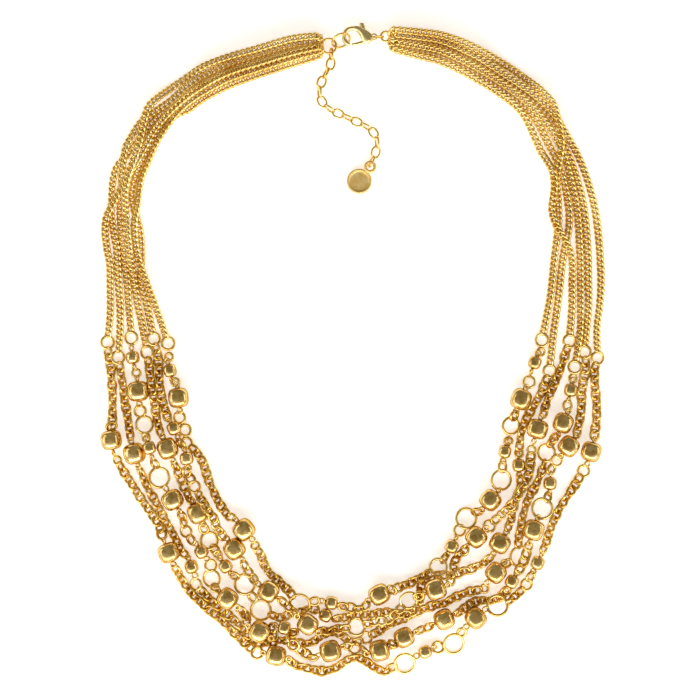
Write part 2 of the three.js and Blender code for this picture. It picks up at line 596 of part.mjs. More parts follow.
// A flat outline with rounded edges, centred on a height
function plate(outline, thick, height, bevel) {
  const shape = new THREE.Shape(outline.map(flat));
  const options = {
    depth: thick - 2 * bevel, bevelEnabled: bevel > 0, bevelThickness: bevel, bevelSize: bevel,
    bevelOffset: -bevel, bevelSegments: 1, curveSegments: 1,
  };
  const geometry = new THREE.ExtrudeGeometry(shape, options);
  return solid(geometry.translate(0, 0, height - thick / 2 + bevel));
}

function disc(radius, thick, height, centre, sides) {
  const geometry = new THREE.CylinderGeometry(radius, radius, thick, sides);
  geometry.rotateX(Math.PI / 2);
  return solid(geometry.translate(toX(centre[0]), toY(centre[1]), height));
}

function claspBody() {
  const slotHeight = leverThick + 2 * gap;
  const slotBox = new THREE.BoxGeometry(
    (slotSpan.right - slotSpan.left) * mmPerPixel, (slotSpan.bottom - slotSpan.top) * mmPerPixel, slotHeight,
  );
  slotBox.translate(
    toX((slotSpan.left + slotSpan.right) / 2), toY((slotSpan.top + slotSpan.bottom) / 2), claspHeight,
  );
  const eye = disc(eyeOuter / 2, eyeThick, claspHeight, place.eye, 12);
  const hole = disc(eyeHole / 2, baseThick, claspHeight, place.eye, 10);
  const shell = plate(claspOutline.hook, hookThick, claspHeight, claspBevel)
    .add(plate(claspOutline.base, baseThick, claspHeight, claspBevel))
    .subtract(solid(slotBox))
    .add(eye)
    .subtract(hole);
  const pin = disc(leverPin / 2, slotHeight + 2 * gap, claspHeight, place.pivot, 10);
  return pieceOf("clasp_body", shell.add(pin), gold.clasp);
}

function claspLever() {
  const hub = disc(hubDiameter / 2, leverThick, claspHeight, place.pivot, 14);
  const bore = disc(leverPin / 2 + gap, 2 * leverThick, claspHeight, place.pivot, 12);
  const lever = plate(claspOutline.tab, leverThick, claspHeight, 0)
    .add(plate(claspOutline.gate, leverThick, claspHeight, 0))
    .add(hub)
    .subtract(bore);
  return pieceOf("clasp_lever", lever, gold.clasp);
}

// A ring placed at a point, with its plane holding one flat direction and tilted about it
function tiltedRing(size, wire, centre, direction, tilt) {
  const geometry = ring(size, wire);
  geometry.rotateX(radians(tilt));
  geometry.rotateZ(Math.atan2(direction.y, direction.x));
  return solid(geometry.translate(centre.x, centre.y, centre.z));
}

function endRings() {
  const leftEnd = flat(place.leftEnd);
  const bar = flat(place.hookBar);
  const aim = bar.clone().sub(leftEnd).normalize();
  const startInside = (leftEndRing - endWire) / 2 - endWire - 2 * gap;
  const middle = leftEnd.clone().addScaledVector(aim, startInside + (hookRing - endWire) / 2);
  const eye = flat(place.eye);
  const claspRingMiddle = eye.x + (claspRing - claspRingWire) / 2;
  const rightEnd = flat(place.rightEnd);
  const level = (point, z) => new THREE.Vector3(point.x, point.y, z);
  const along = new THREE.Vector2(1, 0);
  const atClasp = new THREE.Vector3(claspRingMiddle, eye.y, claspHeight);
  return [
    pieceOf("left_end_ring", tiltedRing(leftEndRing, endWire, level(leftEnd, leftEndHeight), along, 0), gold.ring),
    pieceOf("hook_ring", tiltedRing(hookRing, endWire, level(middle, claspHeight), aim, hookRingTilt), gold.ring),
    pieceOf("clasp_ring", tiltedRing(claspRing, claspRingWire, atClasp, along, 90), gold.ring),
    pieceOf("right_end_ring", tiltedRing(rightEndRing, endWire, level(rightEnd, claspHeight), along, 0), gold.ring),
  ];
}

// The extender: a tube as wide as its links, with a whole link at each end. One link holds the
// left end ring and the other passes through the tag's lug.
function extender() {
  const route = extenderRoute.map(([x, y]) => new THREE.Vector3(toX(x), toY(y), extenderHeight));
  const curve = new THREE.CatmullRomCurve3(route);
  const length = curve.getLength();
  const inset = (extenderLink - extenderWire) / 2;
  const count = Math.ceil((length - 2 * inset) / extenderStep);
  const points = Array.from({ length: count + 1 }, (_, i) => (
    curve.getPointAt((inset + ((length - 2 * inset) * i) / count) / length)
  ));
  const links = [0, 1].map((share) => {
    const tangent = curve.getTangentAt(share);
    const geometry = link(extenderLink, extenderWidth, extenderWire);
    geometry.rotateX(radians(extenderRoll));
    geometry.rotateZ(Math.atan2(tangent.y, tangent.x));
    const place = curve.getPointAt(share);
    return solid(geometry.translate(place.x, place.y, place.z));
  });
  return pieceOf("extender_chain", joined([tube(points, extenderTube), ...links]), gold.ring);
}

function tag() {
  const radius = tagDiameter / 2;
  const edge = claspBevel;
  const profile = [
    [0, 0], [radius - edge, 0], [radius, edge], [radius, tagThick + rimHeight - edge],
    [radius - edge, tagThick + rimHeight], [radius - rimWidth, tagThick + rimHeight],
    [radius - rimWidth - edge, tagThick], [0, tagThick],
  ];
  const face = new THREE.LatheGeometry(profile.map(([x, y]) => new THREE.Vector2(x, y)), tagSides);
  face.rotateX(Math.PI / 2);
  const middle = flat(place.tag);
  const away = flat(place.lug).sub(middle).normalize();
  const reach = radius + lugDiameter / 2 - rimWidth / 2;
  const lugPlace = middle.clone().addScaledVector(away, reach);
  const ringLike = [
    [lugHole / 2, -lugThick / 2], [lugDiameter / 2, -lugThick / 2], [lugDiameter / 2, lugThick / 2],
    [lugHole / 2, lugThick / 2], [lugHole / 2, -lugThick / 2],
  ];
  const lug = new THREE.LatheGeometry(ringLike.map(([x, y]) => new THREE.Vector2(x, y)), beadSides);
  lug.rotateX(Math.PI / 2);
  const lugSolid = solid(lug.translate(lugPlace.x, lugPlace.y, extenderHeight));
  return pieceOf("tag", solid(face.translate(middle.x, middle.y, 0)).add(lugSolid), gold.clasp);
}

const strands = Object.keys(routes).map(readStrand);
strands.forEach(sampleStrand);
const chains = Object.keys(sideChains).map((name) => readSideChain(name, strands));
settle();

const necklace = new THREE.Group();
necklace.add(claspBody(), claspLever(), ...endRings(), extender(), tag());
for (const { name, run } of chains) {
  necklace.add(pieceOf(name, tube(run.map(spot), curbWidth), gold.chain));
}
strands.forEach((strand) => necklace.add(strandPiece(strand)));
necklace.add(...beadPieces(strands));

export default necklace;
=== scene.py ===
# %% [markdown]
# # A multi strand necklace, lying flat
#
# The real necklace is gold coloured brass: six fine curb chains run down each side, and each one
# joins, at a ring, a lower strand of cable chain with rings, small beads and large rounded cubes.
# A lobster clasp and an extender with a round tag close it. This lesson dresses the solids of the
# frame with links, wire rings and polished beads. The solids keep the sizes and the heights, and
# every new piece is a surface worked out with numpy.

import json
import math

import bpy
import numpy as np
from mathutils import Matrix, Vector
from mathutils.bvhtree import BVHTree

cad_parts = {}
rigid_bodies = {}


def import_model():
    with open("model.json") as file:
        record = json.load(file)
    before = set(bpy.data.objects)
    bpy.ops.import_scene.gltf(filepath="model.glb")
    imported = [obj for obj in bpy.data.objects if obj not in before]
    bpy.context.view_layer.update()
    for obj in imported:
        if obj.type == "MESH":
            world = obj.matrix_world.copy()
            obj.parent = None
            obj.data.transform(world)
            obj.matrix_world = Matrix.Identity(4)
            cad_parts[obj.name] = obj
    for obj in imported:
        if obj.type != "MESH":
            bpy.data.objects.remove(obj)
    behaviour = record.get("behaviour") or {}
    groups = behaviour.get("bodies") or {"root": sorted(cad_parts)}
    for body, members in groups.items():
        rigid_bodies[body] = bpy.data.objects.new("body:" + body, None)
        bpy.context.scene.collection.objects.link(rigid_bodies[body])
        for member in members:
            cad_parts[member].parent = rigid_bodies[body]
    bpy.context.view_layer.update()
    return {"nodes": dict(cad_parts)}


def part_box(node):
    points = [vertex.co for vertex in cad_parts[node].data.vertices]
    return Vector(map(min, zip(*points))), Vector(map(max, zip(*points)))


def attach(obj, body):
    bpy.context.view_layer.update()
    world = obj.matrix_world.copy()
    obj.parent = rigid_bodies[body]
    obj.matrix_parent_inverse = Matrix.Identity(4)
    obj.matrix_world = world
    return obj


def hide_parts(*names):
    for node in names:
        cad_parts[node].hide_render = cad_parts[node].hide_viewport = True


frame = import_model()

# %% [markdown]
# ## Routes
#
# A chain that lies loose follows no formula, so its bends are listed one by one, in pixels of the
# picture that the necklace was measured on. They are the same points that the solids use. A named
# stop is a ring (big, mid, joint, jump or tiny), a large bead or a small one, and a bare pair is a
# point that the chain passes.

# %% Scale of the routes
MM = 0.001
MM_PER_PIXEL = 0.32
ORIGIN_PIXEL = np.array([353.2, 348.8])


def to_row(pixels):
    """Pixels, with y down, to metres in the row frame, with y up."""
    return (np.asarray(pixels, float) - ORIGIN_PIXEL) * [MM_PER_PIXEL * MM, -MM_PER_PIXEL * MM]


print("one pixel is", MM_PER_PIXEL, "mm")

# %% Lower strands, from the left joint ring to the right one
STRAND_ROUTES = {
    "strand_1": [
        ["joint", 108, 342.5], [108.5, 354], [111, 366], [112, 380], [113, 396], [113, 412], [112.5, 426],
        ["bead", 112.5, 439.5], ["tiny", 118, 460], [122, 468], [127, 476], [133, 485], [139, 495],
        [146, 505], [154, 516], [160, 526], [164, 537], ["bead", 170, 551], [176, 566], [180, 575],
        [185, 584], [191, 592], [198, 599], [206, 606], [214, 613], [222, 620], [230, 628], [238, 636],
        [247, 644], ["jump", 257.5, 651.5], ["bead", 276.5, 653.5], [290, 659], [299, 665], [309, 668],
        [324, 670.5], [338, 666], [347, 659.5], [357, 657], [366, 661], [375, 667], [384, 671],
        [392, 667], ["big", 404.6, 662.7], ["small", 425, 651], ["jump", 437.7, 646.6],
        ["big", 453.5, 643], ["bead", 475, 616.5], ["big", 496.5, 603.8], [509, 600], [515, 595],
        [521, 590], ["jump", 526, 584], ["small", 537, 562.3], [542.5, 550], [546, 542], [548, 535],
        [551.5, 525], [556, 514], [561.5, 504.5], [569, 493], [575, 484], ["jump", 583, 470.7],
        ["bead", 589.8, 451.2], [593.5, 437], [596, 420], [596, 402], [594.5, 386], [594, 371],
        ["joint", 597, 358],
    ],
    "strand_2": [
        ["joint", 118.5, 357.5], [121, 372], [123.5, 386], [125, 400], [127.5, 413], [129.5, 426],
        [131.5, 438], ["bead", 135.5, 453], [140, 468], [144, 477], [148, 487], [154, 498], [161, 511],
        [167, 523], [173, 533], [178, 542], [184, 553], ["small", 192, 566], ["jump", 196.5, 584],
        [205, 593], [212, 600], [220, 607], [228, 614], [236, 621], [244, 629], [251, 636.5],
        [259, 642.5], [268, 642.5], [277, 640], [287, 640], [297, 642], [306, 643], [315, 640],
        [322, 634.5], [331, 631.5], [340, 633.5], [348, 639], [357, 641], ["jump", 366, 637], [376, 632],
        [384, 627], [393, 622], ["tiny", 404.5, 618], [414, 613], [422, 609], [430, 606], [438, 604],
        [446, 602], [452, 598], [459, 595], [466, 592], [475, 590], ["tiny", 484, 588],
        ["bead", 495, 571.5], [505, 563], ["big", 519.5, 556], [518, 541], [520, 528], [523, 514],
        [527, 501], [533.5, 488], [538, 479], [542, 469], ["mid", 546, 452.5], [553, 438],
        ["bead", 562, 422.6], [566.5, 407], ["small", 570, 390], ["tiny", 572.4, 378.4],
        ["joint", 574.3, 367],
    ],
    "strand_3": [
        ["joint", 131.8, 338], ["small", 133.5, 357.5], ["tiny", 137, 373], ["bead", 139.3, 391],
        ["jump", 140.7, 411], ["mid", 145, 424.5], ["tiny", 147.5, 436.7], ["small", 151, 447],
        ["big", 160, 477], ["bead", 173.5, 499], [182, 514], ["jump", 186.5, 531], [193, 541],
        ["small", 202, 551], ["jump", 211, 565], ["mid", 212, 578], ["tiny", 215.4, 586.5],
        ["bead", 228.2, 597], [240, 607], [247, 616], ["bead", 260.3, 629.5], [273, 630],
        ["small", 284.5, 626.3], [290, 635], ["jump", 294, 643], [303, 650], [313, 656],
        ["bead", 330.5, 649.3], [345, 644], ["jump", 354.6, 647.5], [364, 649], ["bead", 379.4, 648.8],
        [392, 642], ["bead", 403.8, 636], [417, 630], [424, 628], [431, 625], ["bead", 443.7, 617.8],
        [457, 612], [465, 607], [473, 602], [482, 600], [491, 600], [500, 596], [506, 589],
        ["small", 511, 580.5], [517, 571], [523, 560], ["tiny", 527.5, 545.5], ["bead", 532.3, 528.7],
        ["big", 541, 507.5], [547.5, 495], ["small", 549.3, 483], [549, 472], ["jump", 556, 460],
        ["bead", 567.5, 445.8], [576, 434], [579, 421], [581, 407], [581, 394], [583, 380],
        [585.5, 365], ["joint", 584, 352],
    ],
    "strand_4": [
        ["joint", 147.5, 352.5], [149.5, 366], [151, 379], [153, 392], [155.5, 406], [157.5, 420],
        [161.5, 433], ["bead", 168.5, 448], [175, 463], [179, 473], [183, 482], [187, 492],
        [192, 500.5], ["bead", 199, 512], [203.5, 525], ["mid", 209.5, 540], ["tiny", 218, 554],
        ["small", 226, 565.6], [233, 574], ["big", 245, 583.7], ["big", 261, 609.5], [276, 616],
        [283, 617], [290, 613], [299, 612], [308, 608], [316, 609], ["small", 325.6, 614.5],
        [336, 618], [345, 617], [354, 614], [363, 614], [372, 614], [381, 612], [389, 611], [398, 612],
        [407, 613], [414, 609], [419, 601], [420, 591], [423, 582], [430, 576], [438, 574], [447, 575],
        [454, 575], [461, 571], [468, 570], [476, 566], [484, 562], [490, 556], ["bead", 499, 542.2],
        [507, 528], [511, 518], [512, 509], [515, 499], [519, 489], [519.5, 478], ["small", 518.2, 465],
        ["tiny", 518.8, 453], [520, 438], [523, 426], [528, 415], [533, 406], [538, 398], [543, 388],
        ["joint", 549, 371],
    ],
    "strand_5": [
        ["joint", 154, 339], [158, 354], [159.5, 368], [160, 382], [161.5, 396], [165, 408],
        [169, 418], ["small", 174.5, 428], [181, 442], ["small", 187.5, 458], [187, 471],
        ["jump", 195.5, 486], [203, 498], [209, 507], [214, 515], [218, 525], [225, 536],
        ["bead", 235, 548], [244, 561], [249, 571], [256, 580], ["bead", 269, 590], [281, 598],
        [289, 605], [297, 612], ["bead", 308.2, 621.6], [320, 629], [328, 629.5], [336, 628],
        ["mid", 356.4, 626], [369, 622], [377, 619], [386, 618], [393, 613], ["mid", 408.2, 598.4],
        ["bead", 435, 587.3], [449, 582], [452, 572], [454, 562], [458, 555], [465, 548],
        ["bead", 475.4, 536], ["jump", 488.7, 525.2], ["tiny", 500.4, 514], [508, 507], [514, 499],
        [519, 491], [524, 482], [528, 471], [529.5, 461], ["tiny", 531, 449.7], ["bead", 536.3, 428.5],
        [542, 414], [546, 402], [551, 391], [557, 377], [561.5, 365], [565, 354], ["joint", 569, 341],
    ],
    "strand_6": [
        ["joint", 168.5, 343.5], ["tiny", 169.5, 357], ["small", 170.5, 370.5], ["tiny", 176, 382],
        ["bead", 179.3, 397.5], ["jump", 180, 417.5], ["jump", 185.5, 430], ["jump", 187, 443],
        [196, 451], [202, 460], [206, 470], [209, 480], [213, 489], [217, 498], [222, 507], [230, 516],
        ["bead", 244.5, 528.8], ["tiny", 255.5, 545.7], [261, 555], [265, 565], [271, 574], [279, 581],
        [287, 588], ["big", 300, 602.5], [316, 600], ["small", 331.4, 602], [341, 605], [349, 606],
        [358, 608], [366, 604], ["bead", 379.2, 593.3], [392, 589], [400, 586], [409, 583], [417, 578],
        [426, 574], ["mid", 437.7, 566], [445, 556], ["small", 451.3, 545.7], ["jump", 459.3, 530],
        ["big", 466, 518], ["bead", 489.7, 499.4], ["big", 500.5, 479.5], ["small", 504.3, 451.4],
        ["tiny", 508, 441], ["mid", 510.4, 425.7], ["bead", 520.2, 399], ["jump", 528.7, 382],
        ["small", 534.2, 362.6], ["tiny", 540.3, 352], ["joint", 541.5, 340],
    ],
}
print("strands:", {name: len(route) for name, route in STRAND_ROUTES.items()})

# %% Side chains, from the clasp down to their strand
# Each has the strand that it joins and which end of that strand, the first stop or the last.
SIDE_ROUTES = {
    "left_chain_1": ("strand_1", "first", [
        [318, 49.4], [292, 55.3], [259.5, 65], [228, 75], [207, 85.5], [192, 95.5],
        [177, 108], [165, 120], [154, 133], [146, 147], [139, 160], [131, 174], [124, 187],
        [116, 202], [108.5, 216], [106, 231], [107, 247], [110, 264], [110.6, 290],
        [110.6, 312], [110, 328],
    ]),
    "left_chain_2": ("strand_2", "first", [
        [318, 45.8], [292, 50.7], [259.5, 60.2], [227, 70.5], [205.5, 81], [189, 92],
        [174, 105.5], [160, 116], [148, 128], [137, 143], [126, 157], [117, 168],
        [112.8, 184], [112, 200], [111.5, 214], [113.5, 230], [117, 248], [118, 265],
        [119, 285], [120.5, 307], [120.5, 328], [119.5, 343],
    ]),
    "left_chain_3": ("strand_3", "first", [
        [318, 42], [292, 46], [259, 55.5], [226.5, 66], [204, 76.5], [186, 88.5],
        [171, 102.5], [157, 111.5], [143, 121], [133, 136], [126.5, 149], [124.5, 162],
        [122.5, 178], [121.5, 194], [120.5, 212], [121.5, 230], [124, 248], [125.5, 265],
        [127.5, 285], [129, 305], [131, 322],
    ]),
    "left_chain_4": ("strand_4", "first", [
        [318, 38.4], [292, 41.4], [259, 50.8], [226, 60], [203, 68.5], [182, 81.5],
        [160, 97.5], [149.5, 109], [145, 124], [141, 142], [136, 160], [130.5, 176],
        [127.5, 190], [127, 212], [128.5, 230], [130.5, 248], [132.5, 265], [135, 285],
        [138, 305], [142, 323], [145.5, 338],
    ]),
    "left_chain_5": ("strand_5", "first", [
        [318, 56.6], [292, 64.6], [260, 74.6], [231, 85], [212, 94], [198, 102.5],
        [189, 109.5], [177, 114.5], [166, 123], [156, 136], [149, 149], [142.5, 162],
        [136.5, 176], [133, 190], [133, 203], [136.5, 217], [140, 230], [141.5, 245],
        [141.5, 260], [141, 274], [143, 288], [147, 305], [151, 324],
    ]),
    "left_chain_6": ("strand_6", "first", [
        [318, 53], [292, 60], [260, 69.8], [229.5, 80], [209.5, 90], [195, 99], [183, 108.5],
        [173.5, 119], [165.5, 130], [158, 142], [152, 155], [146.5, 168], [141.5, 181],
        [139.5, 194], [138, 208], [135.5, 222], [135.5, 236], [137, 250], [140.5, 264],
        [146, 279], [151, 294], [156.5, 309], [162.5, 327],
    ]),
    "right_chain_1": ("strand_6", "last", [
        [394, 32.4], [416, 34.5], [440, 37.4], [465, 45.5], [486.5, 55.4], [507.5, 67],
        [527, 81], [543, 95], [552, 106.5], [555.5, 118], [558, 131], [559.5, 144],
        [558.5, 157], [556.5, 169], [555.5, 182], [557, 195], [558, 208], [558, 222],
        [556.5, 238], [554, 256], [552, 276], [550, 295], [547, 312], [543.5, 326],
    ]),
    "right_chain_2": ("strand_4", "last", [
        [394, 47], [415, 51.5], [438, 56.5], [460, 66], [480.5, 77], [500, 89.5],
        [519, 103.5], [529.5, 112.5], [537, 122.5], [543, 134], [548.5, 145.5], [554, 156.5],
        [559, 169], [563.5, 183], [566.5, 197.5], [568.5, 211], [568.7, 226], [566.3, 240],
        [563.2, 255], [560.5, 275], [558.5, 295], [556, 314], [553, 334], [550.5, 355],
    ]),
    "right_chain_3": ("strand_5", "last", [
        [394, 50.7], [414, 56], [437, 61.5], [458, 70.5], [478, 81.5], [497, 93.5],
        [515, 107], [523, 116], [529.4, 127], [535, 139.5], [540.5, 152], [546, 162],
        [551, 173], [553, 186], [552, 199], [551, 211], [554.5, 224.5], [562, 237.5],
        [569, 251], [571.5, 266], [571.5, 285], [571.5, 305], [570.5, 325],
    ]),
    "right_chain_4": ("strand_2", "last", [
        [394, 43.3], [415, 47], [438.5, 51.5], [461.5, 61.5], [483, 72.5], [502.5, 85],
        [522.5, 100], [533.5, 110], [543, 120.5], [550.5, 131.5], [557, 143.5], [562.5, 155],
        [566.5, 167.5], [570.5, 182], [574, 196.5], [576.5, 211], [578, 227], [579, 243],
        [579.7, 260], [580, 285], [580, 308], [579.5, 330], [576.5, 352],
    ]),
    "right_chain_5": ("strand_3", "last", [
        [394, 39.7], [415.5, 42.5], [439, 46.5], [462.5, 56.5], [484, 67.5], [504.5, 80.5],
        [526.5, 96.5], [538, 106.5], [547.5, 117], [555, 129], [561.5, 141.5], [567, 153],
        [572.5, 166.5], [577, 181], [581, 195.5], [583.7, 210], [585.5, 226], [586.7, 242],
        [587.6, 260], [588, 285], [588, 308], [586.5, 326], [585, 340],
    ]),
    "right_chain_6": ("strand_1", "last", [
        [394, 36], [416, 38.5], [439.5, 42], [463.5, 51.5], [480, 60], [497, 71], [512, 81],
        [527, 91], [541, 102], [552, 113.5], [560.5, 126.5], [568.5, 140], [575.5, 152],
        [581.5, 165], [586.5, 179], [591, 194], [594.5, 209], [596.8, 224], [598.5, 240],
        [599.8, 258], [600.5, 285], [599, 308], [596.5, 328], [596.5, 345],
    ]),
}
EXTENDER_ROUTE = [
    [331.2, 54.8], [330.7, 65], [325.6, 75], [320.7, 85.6], [319.7, 94], [322.4, 103], [331.2, 110.8],
    [343.1, 116.4], [352.2, 120.6], [363.9, 126.2], [372.6, 132.5], [376.8, 141.7], [376, 151.5],
    [371.7, 162.1],
]
print("side chains:", len(SIDE_ROUTES))

# %% [markdown]
# ## Lines
#
# A bezier curve object could carry the links, but an array of points is easier to measure and to
# cut at a ring. Each route becomes a smooth line, and the height of each of its points is read off
# the solids: a ray from above and one from below meet the solid's tube, and the line lies midway.

# %% A smooth line through chosen points
def smooth_line(points, step):
    """Centripetal Catmull-Rom line through the points, at equal steps along it.

    The spacing of the parameter is the square root of each chord. A cubic with the chords'
    weighted directions at its ends joins each pair of points, and the result is resampled by
    length."""
    points = np.asarray(points, float)
    padded = np.vstack([2 * points[0] - points[1], points, 2 * points[-1] - points[-2]])
    root = np.sqrt(np.linalg.norm(np.diff(padded, axis=0), axis=1))[:, None]
    before, here, after, beyond = padded[:-3], padded[1:-2], padded[2:-1], padded[3:]
    t0, t1, t2 = root[:-2], root[1:-1], root[2:]
    leave = t1 * ((here - before) / t0 - (after - before) / (t0 + t1) + (after - here) / t1)
    arrive = t1 * ((after - here) / t1 - (beyond - here) / (t1 + t2) + (beyond - after) / t2)
    u = np.linspace(0, 1, 24, endpoint=False)[None, :, None]
    here, after, leave, arrive = (a[:, None, :] for a in (here, after, leave, arrive))
    curve = ((2 * u**3 - 3 * u**2 + 1) * here + (u**3 - 2 * u**2 + u) * leave
             + (3 * u**2 - 2 * u**3) * after + (u**3 - u**2) * arrive)
    return resample(np.vstack([curve.reshape(-1, points.shape[1]), points[-1]]), step)


def resample(line, step):
    """The same line at equal steps: its columns are interpolated over its running length."""
    run = length_along(line)
    count = max(2, int(round(run[-1] / step)) + 1)
    return np.stack([np.interp(np.linspace(0, run[-1], count), run, c) for c in line.T], axis=1)


def length_along(line):
    """Running length at each point: the sum of the chords before it."""
    return np.concatenate([[0], np.cumsum(np.linalg.norm(np.diff(line, axis=0), axis=1))])


# %% Heights, read off the solids
TREES = {}


def solid_tree(node):
    """A search tree of a solid's faces, made once."""
    if node not in TREES:
        mesh = frame["nodes"][node].data
        faces = [tuple(p.vertices) for p in mesh.polygons]
        TREES[node] = BVHTree.FromPolygons([v.co for v in mesh.vertices], faces)
    return TREES[node]


def middle_height(node, place):
    """Midway between the solid's top and underside at a place, or nan beside the solid."""
    tree = solid_tree(node)
    top = tree.ray_cast(Vector((place[0], place[1], 0.05)), Vector((0, 0, -1)))[0]
    underside = tree.ray_cast(Vector((place[0], place[1], -0.01)), Vector((0, 0, 1)))[0]
    return (top.z + underside.z) / 2 if top and underside else math.nan


def lay_on(node, line, sink=0.0):
    """Adds heights to a flat line: read at each point, gaps filled, and evened out a little."""
    reading = np.array([middle_height(node, p) for p in line])
    known = ~np.isnan(reading)
    if not known.any():
        raise SystemExit(f"the line of {node} is nowhere over its solid")
    run = length_along(line)
    heights = np.interp(run, run[known], reading[known])
    if len(heights) > 6:
        weights = np.array([1, 2, 3, 2, 1]) / 9
        heights[2:-2] = np.convolve(heights, weights, "valid")
    return np.column_stack([line, heights - sink])


# %% Directions along a line
NEARBY = 0.4 * MM


def frames_on(line, at):
    """Places and axes at given lengths along a line.

    Forward is the chord around the place, from NEARBY behind it to NEARBY ahead. Sideways is
    level and square to it, and upward is square to both. They are the columns of each 3 by 3
    matrix."""
    run = length_along(line)
    place, ahead, behind = (
        np.stack([np.interp(at + d, run, c) for c in line.T], axis=1) for d in (0, NEARBY, -NEARBY)
    )
    forward = ahead - behind
    forward /= np.linalg.norm(forward, axis=1)[:, None]
    sideways = np.cross([0.0, 0.0, 1.0], forward)
    sideways /= np.linalg.norm(sideways, axis=1)[:, None]
    return place, np.stack([forward, sideways, np.cross(forward, sideways)], axis=2)


def rolled(axes, angles):
    """The same axes rolled about their forward one by angles in radians."""
    c, s = np.cos(angles), np.sin(angles)
    turn = np.zeros((len(axes), 3, 3))
    turn[:, 0, 0] = 1
    turn[:, 1, 1], turn[:, 1, 2], turn[:, 2, 1], turn[:, 2, 2] = c, -s, s, c
    return axes @ turn


# %% [markdown]
# ## Wire forms
#
# Chain links, rings and eyes are all one idea: a round wire along a closed line. A torus primitive
# gives a ring alone, so one function sweeps a circle along any closed line on a grid, and copies
# of its result make a chain.

# %% Round wire along a closed line
def closed_wire(line, radius, sides=6):
    """A circle carried along a closed line: (points, four-sided faces).

    The circle's two axes are the line's own in-plane normal and its cross product with the
    line's direction. Both grids wrap round, so the surface is closed."""
    forward = np.roll(line, -1, axis=0) - np.roll(line, 1, axis=0)
    forward /= np.linalg.norm(forward, axis=1)[:, None]
    outward = line - line.mean(axis=0)
    outward -= (outward * forward).sum(axis=1)[:, None] * forward
    outward /= np.linalg.norm(outward, axis=1)[:, None]
    upward = np.cross(forward, outward)
    v = 2 * np.pi * np.arange(sides) / sides
    circle = outward[:, None] * np.cos(v)[None, :, None] + upward[:, None] * np.sin(v)[None, :, None]
    return (line[:, None] + radius * circle).reshape(-1, 3), wrapped_faces(len(line), sides)


def capped_faces(rows, columns):
    """Faces of a grid whose columns wrap round, with a cap of strips on its first and last row."""
    i, j = (a.ravel() for a in np.meshgrid(np.arange(rows - 1), np.arange(columns), indexing="ij"))
    j_next = (j + 1) % columns
    sides = np.stack([i * columns + j, (i + 1) * columns + j, (i + 1) * columns + j_next,
                      i * columns + j_next], axis=1)
    k = np.arange(columns // 2 - 1)
    cap = np.stack([k, k + 1, columns - 2 - k, columns - 1 - k], axis=1)
    return np.vstack([sides, cap, cap[:, ::-1] + (rows - 1) * columns])


def wrapped_faces(rows, columns):
    """Faces of a grid whose rows and columns both wrap round."""
    i, j = (a.ravel() for a in np.meshgrid(np.arange(rows), np.arange(columns), indexing="ij"))
    i_next, j_next = (i + 1) % rows, (j + 1) % columns
    return np.stack([i * columns + j, i_next * columns + j, i_next * columns + j_next,
                     i * columns + j_next], axis=1)


def oval_link(length, width, wire, twist=0.0, points=14, sides=5):
    """A link along x: the line x = a q cos t, y = b q sin t and z = -twist sin 2t.

    The factor q = (|cos t|^p + |sin t|^p)^(-1/p) flattens the oval's sides, and z lets neighbours
    pass over and under each other."""
    power = 2.4
    t = 2 * np.pi * np.arange(points) / points
    a, b = (length - wire) / 2, (width - wire) / 2
    squared = (np.abs(np.cos(t)) ** power + np.abs(np.sin(t)) ** power) ** (-1 / power)
    line = np.stack([a * squared * np.cos(t), b * squared * np.sin(t), -twist * np.sin(2 * t)], axis=1)
    return closed_wire(line, wire / 2, sides)


def round_ring(diameter, wire, points=36, sides=8):
    """A ring in the plane of x and y: a circle of wire, by its outer diameter."""
    t = 2 * np.pi * np.arange(points) / points
    line = (diameter - wire) / 2 * np.stack([np.cos(t), np.sin(t), 0 * t], axis=1)
    return closed_wire(line, wire / 2, sides)


# %% Copies of a form, and several forms in one mesh
def copies(form, places, axes):
    """The form at every place, turned to its axes: points are place + axes times point. A copy
    that would reach under the floor is lifted onto it."""
    points, faces = form
    moved = places[:, None, :] + np.einsum("mij,nj->mni", axes, points)
    moved[..., 2] += np.maximum(0, -moved[..., 2].min(axis=1))[:, None]
    shifts = len(points) * np.arange(len(places))[:, None, None]
    return moved.reshape(-1, 3), (faces[None] + shifts).reshape(-1, faces.shape[1])


def together(forms):
    """Several forms as one: their points in a row, and each one's faces counted on from there."""
    starts = np.cumsum([0] + [len(points) for points, _ in forms[:-1]])
    return (np.vstack([points for points, _ in forms]),
            np.vstack([faces + start for start, (_, faces) in zip(starts, forms)]))


def add_piece(name, form, material, body="necklace", replaces=()):
    """A mesh object with its place in its points, riding on a body of the frame."""
    points, faces = form
    mesh = bpy.data.meshes.new(name)
    mesh.vertices.add(len(points))
    mesh.vertices.foreach_set("co", np.ascontiguousarray(points, np.float32).ravel())
    mesh.loops.add(faces.size)
    mesh.loops.foreach_set("vertex_index", np.ascontiguousarray(faces, np.int32).ravel())
    mesh.polygons.add(len(faces))
    mesh.polygons.foreach_set("loop_start", np.arange(0, faces.size, faces.shape[1], dtype=np.int32))
    mesh.update(calc_edges=True)
    mesh.shade_smooth()
    mesh.materials.append(material)
    piece = bpy.data.objects.new(name, mesh)
    bpy.context.scene.collection.objects.link(piece)
    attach(piece, body)
    if replaces:
        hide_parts(*replaces)
    return piece


def steady(*numbers):
    """A random generator that gives the same numbers on each run."""
    return np.random.default_rng([len(STRAND_ROUTES), *numbers])


# %% [markdown]
# ## Gold
#
# Polished plating is nearly a mirror, so what it reflects does more than its own colour. Each finish
# is a metal with a little roughness, a colour that wanders between two tones, and low dents: hardly
# any on the wires, a fine hammering on the beads and a matt grain on the tag. An image texture
# isn't needed for so fine a grain.

# %% Gold finishes
# A metal's glancing reflections have a tone of their own. This deep one is partly painted shade:
# it gives wires a dark outline and beads darker, oranger sides.
EDGE_TONE_AND_PAINTED_SHADE = (0.5, 0.3, 0.1)


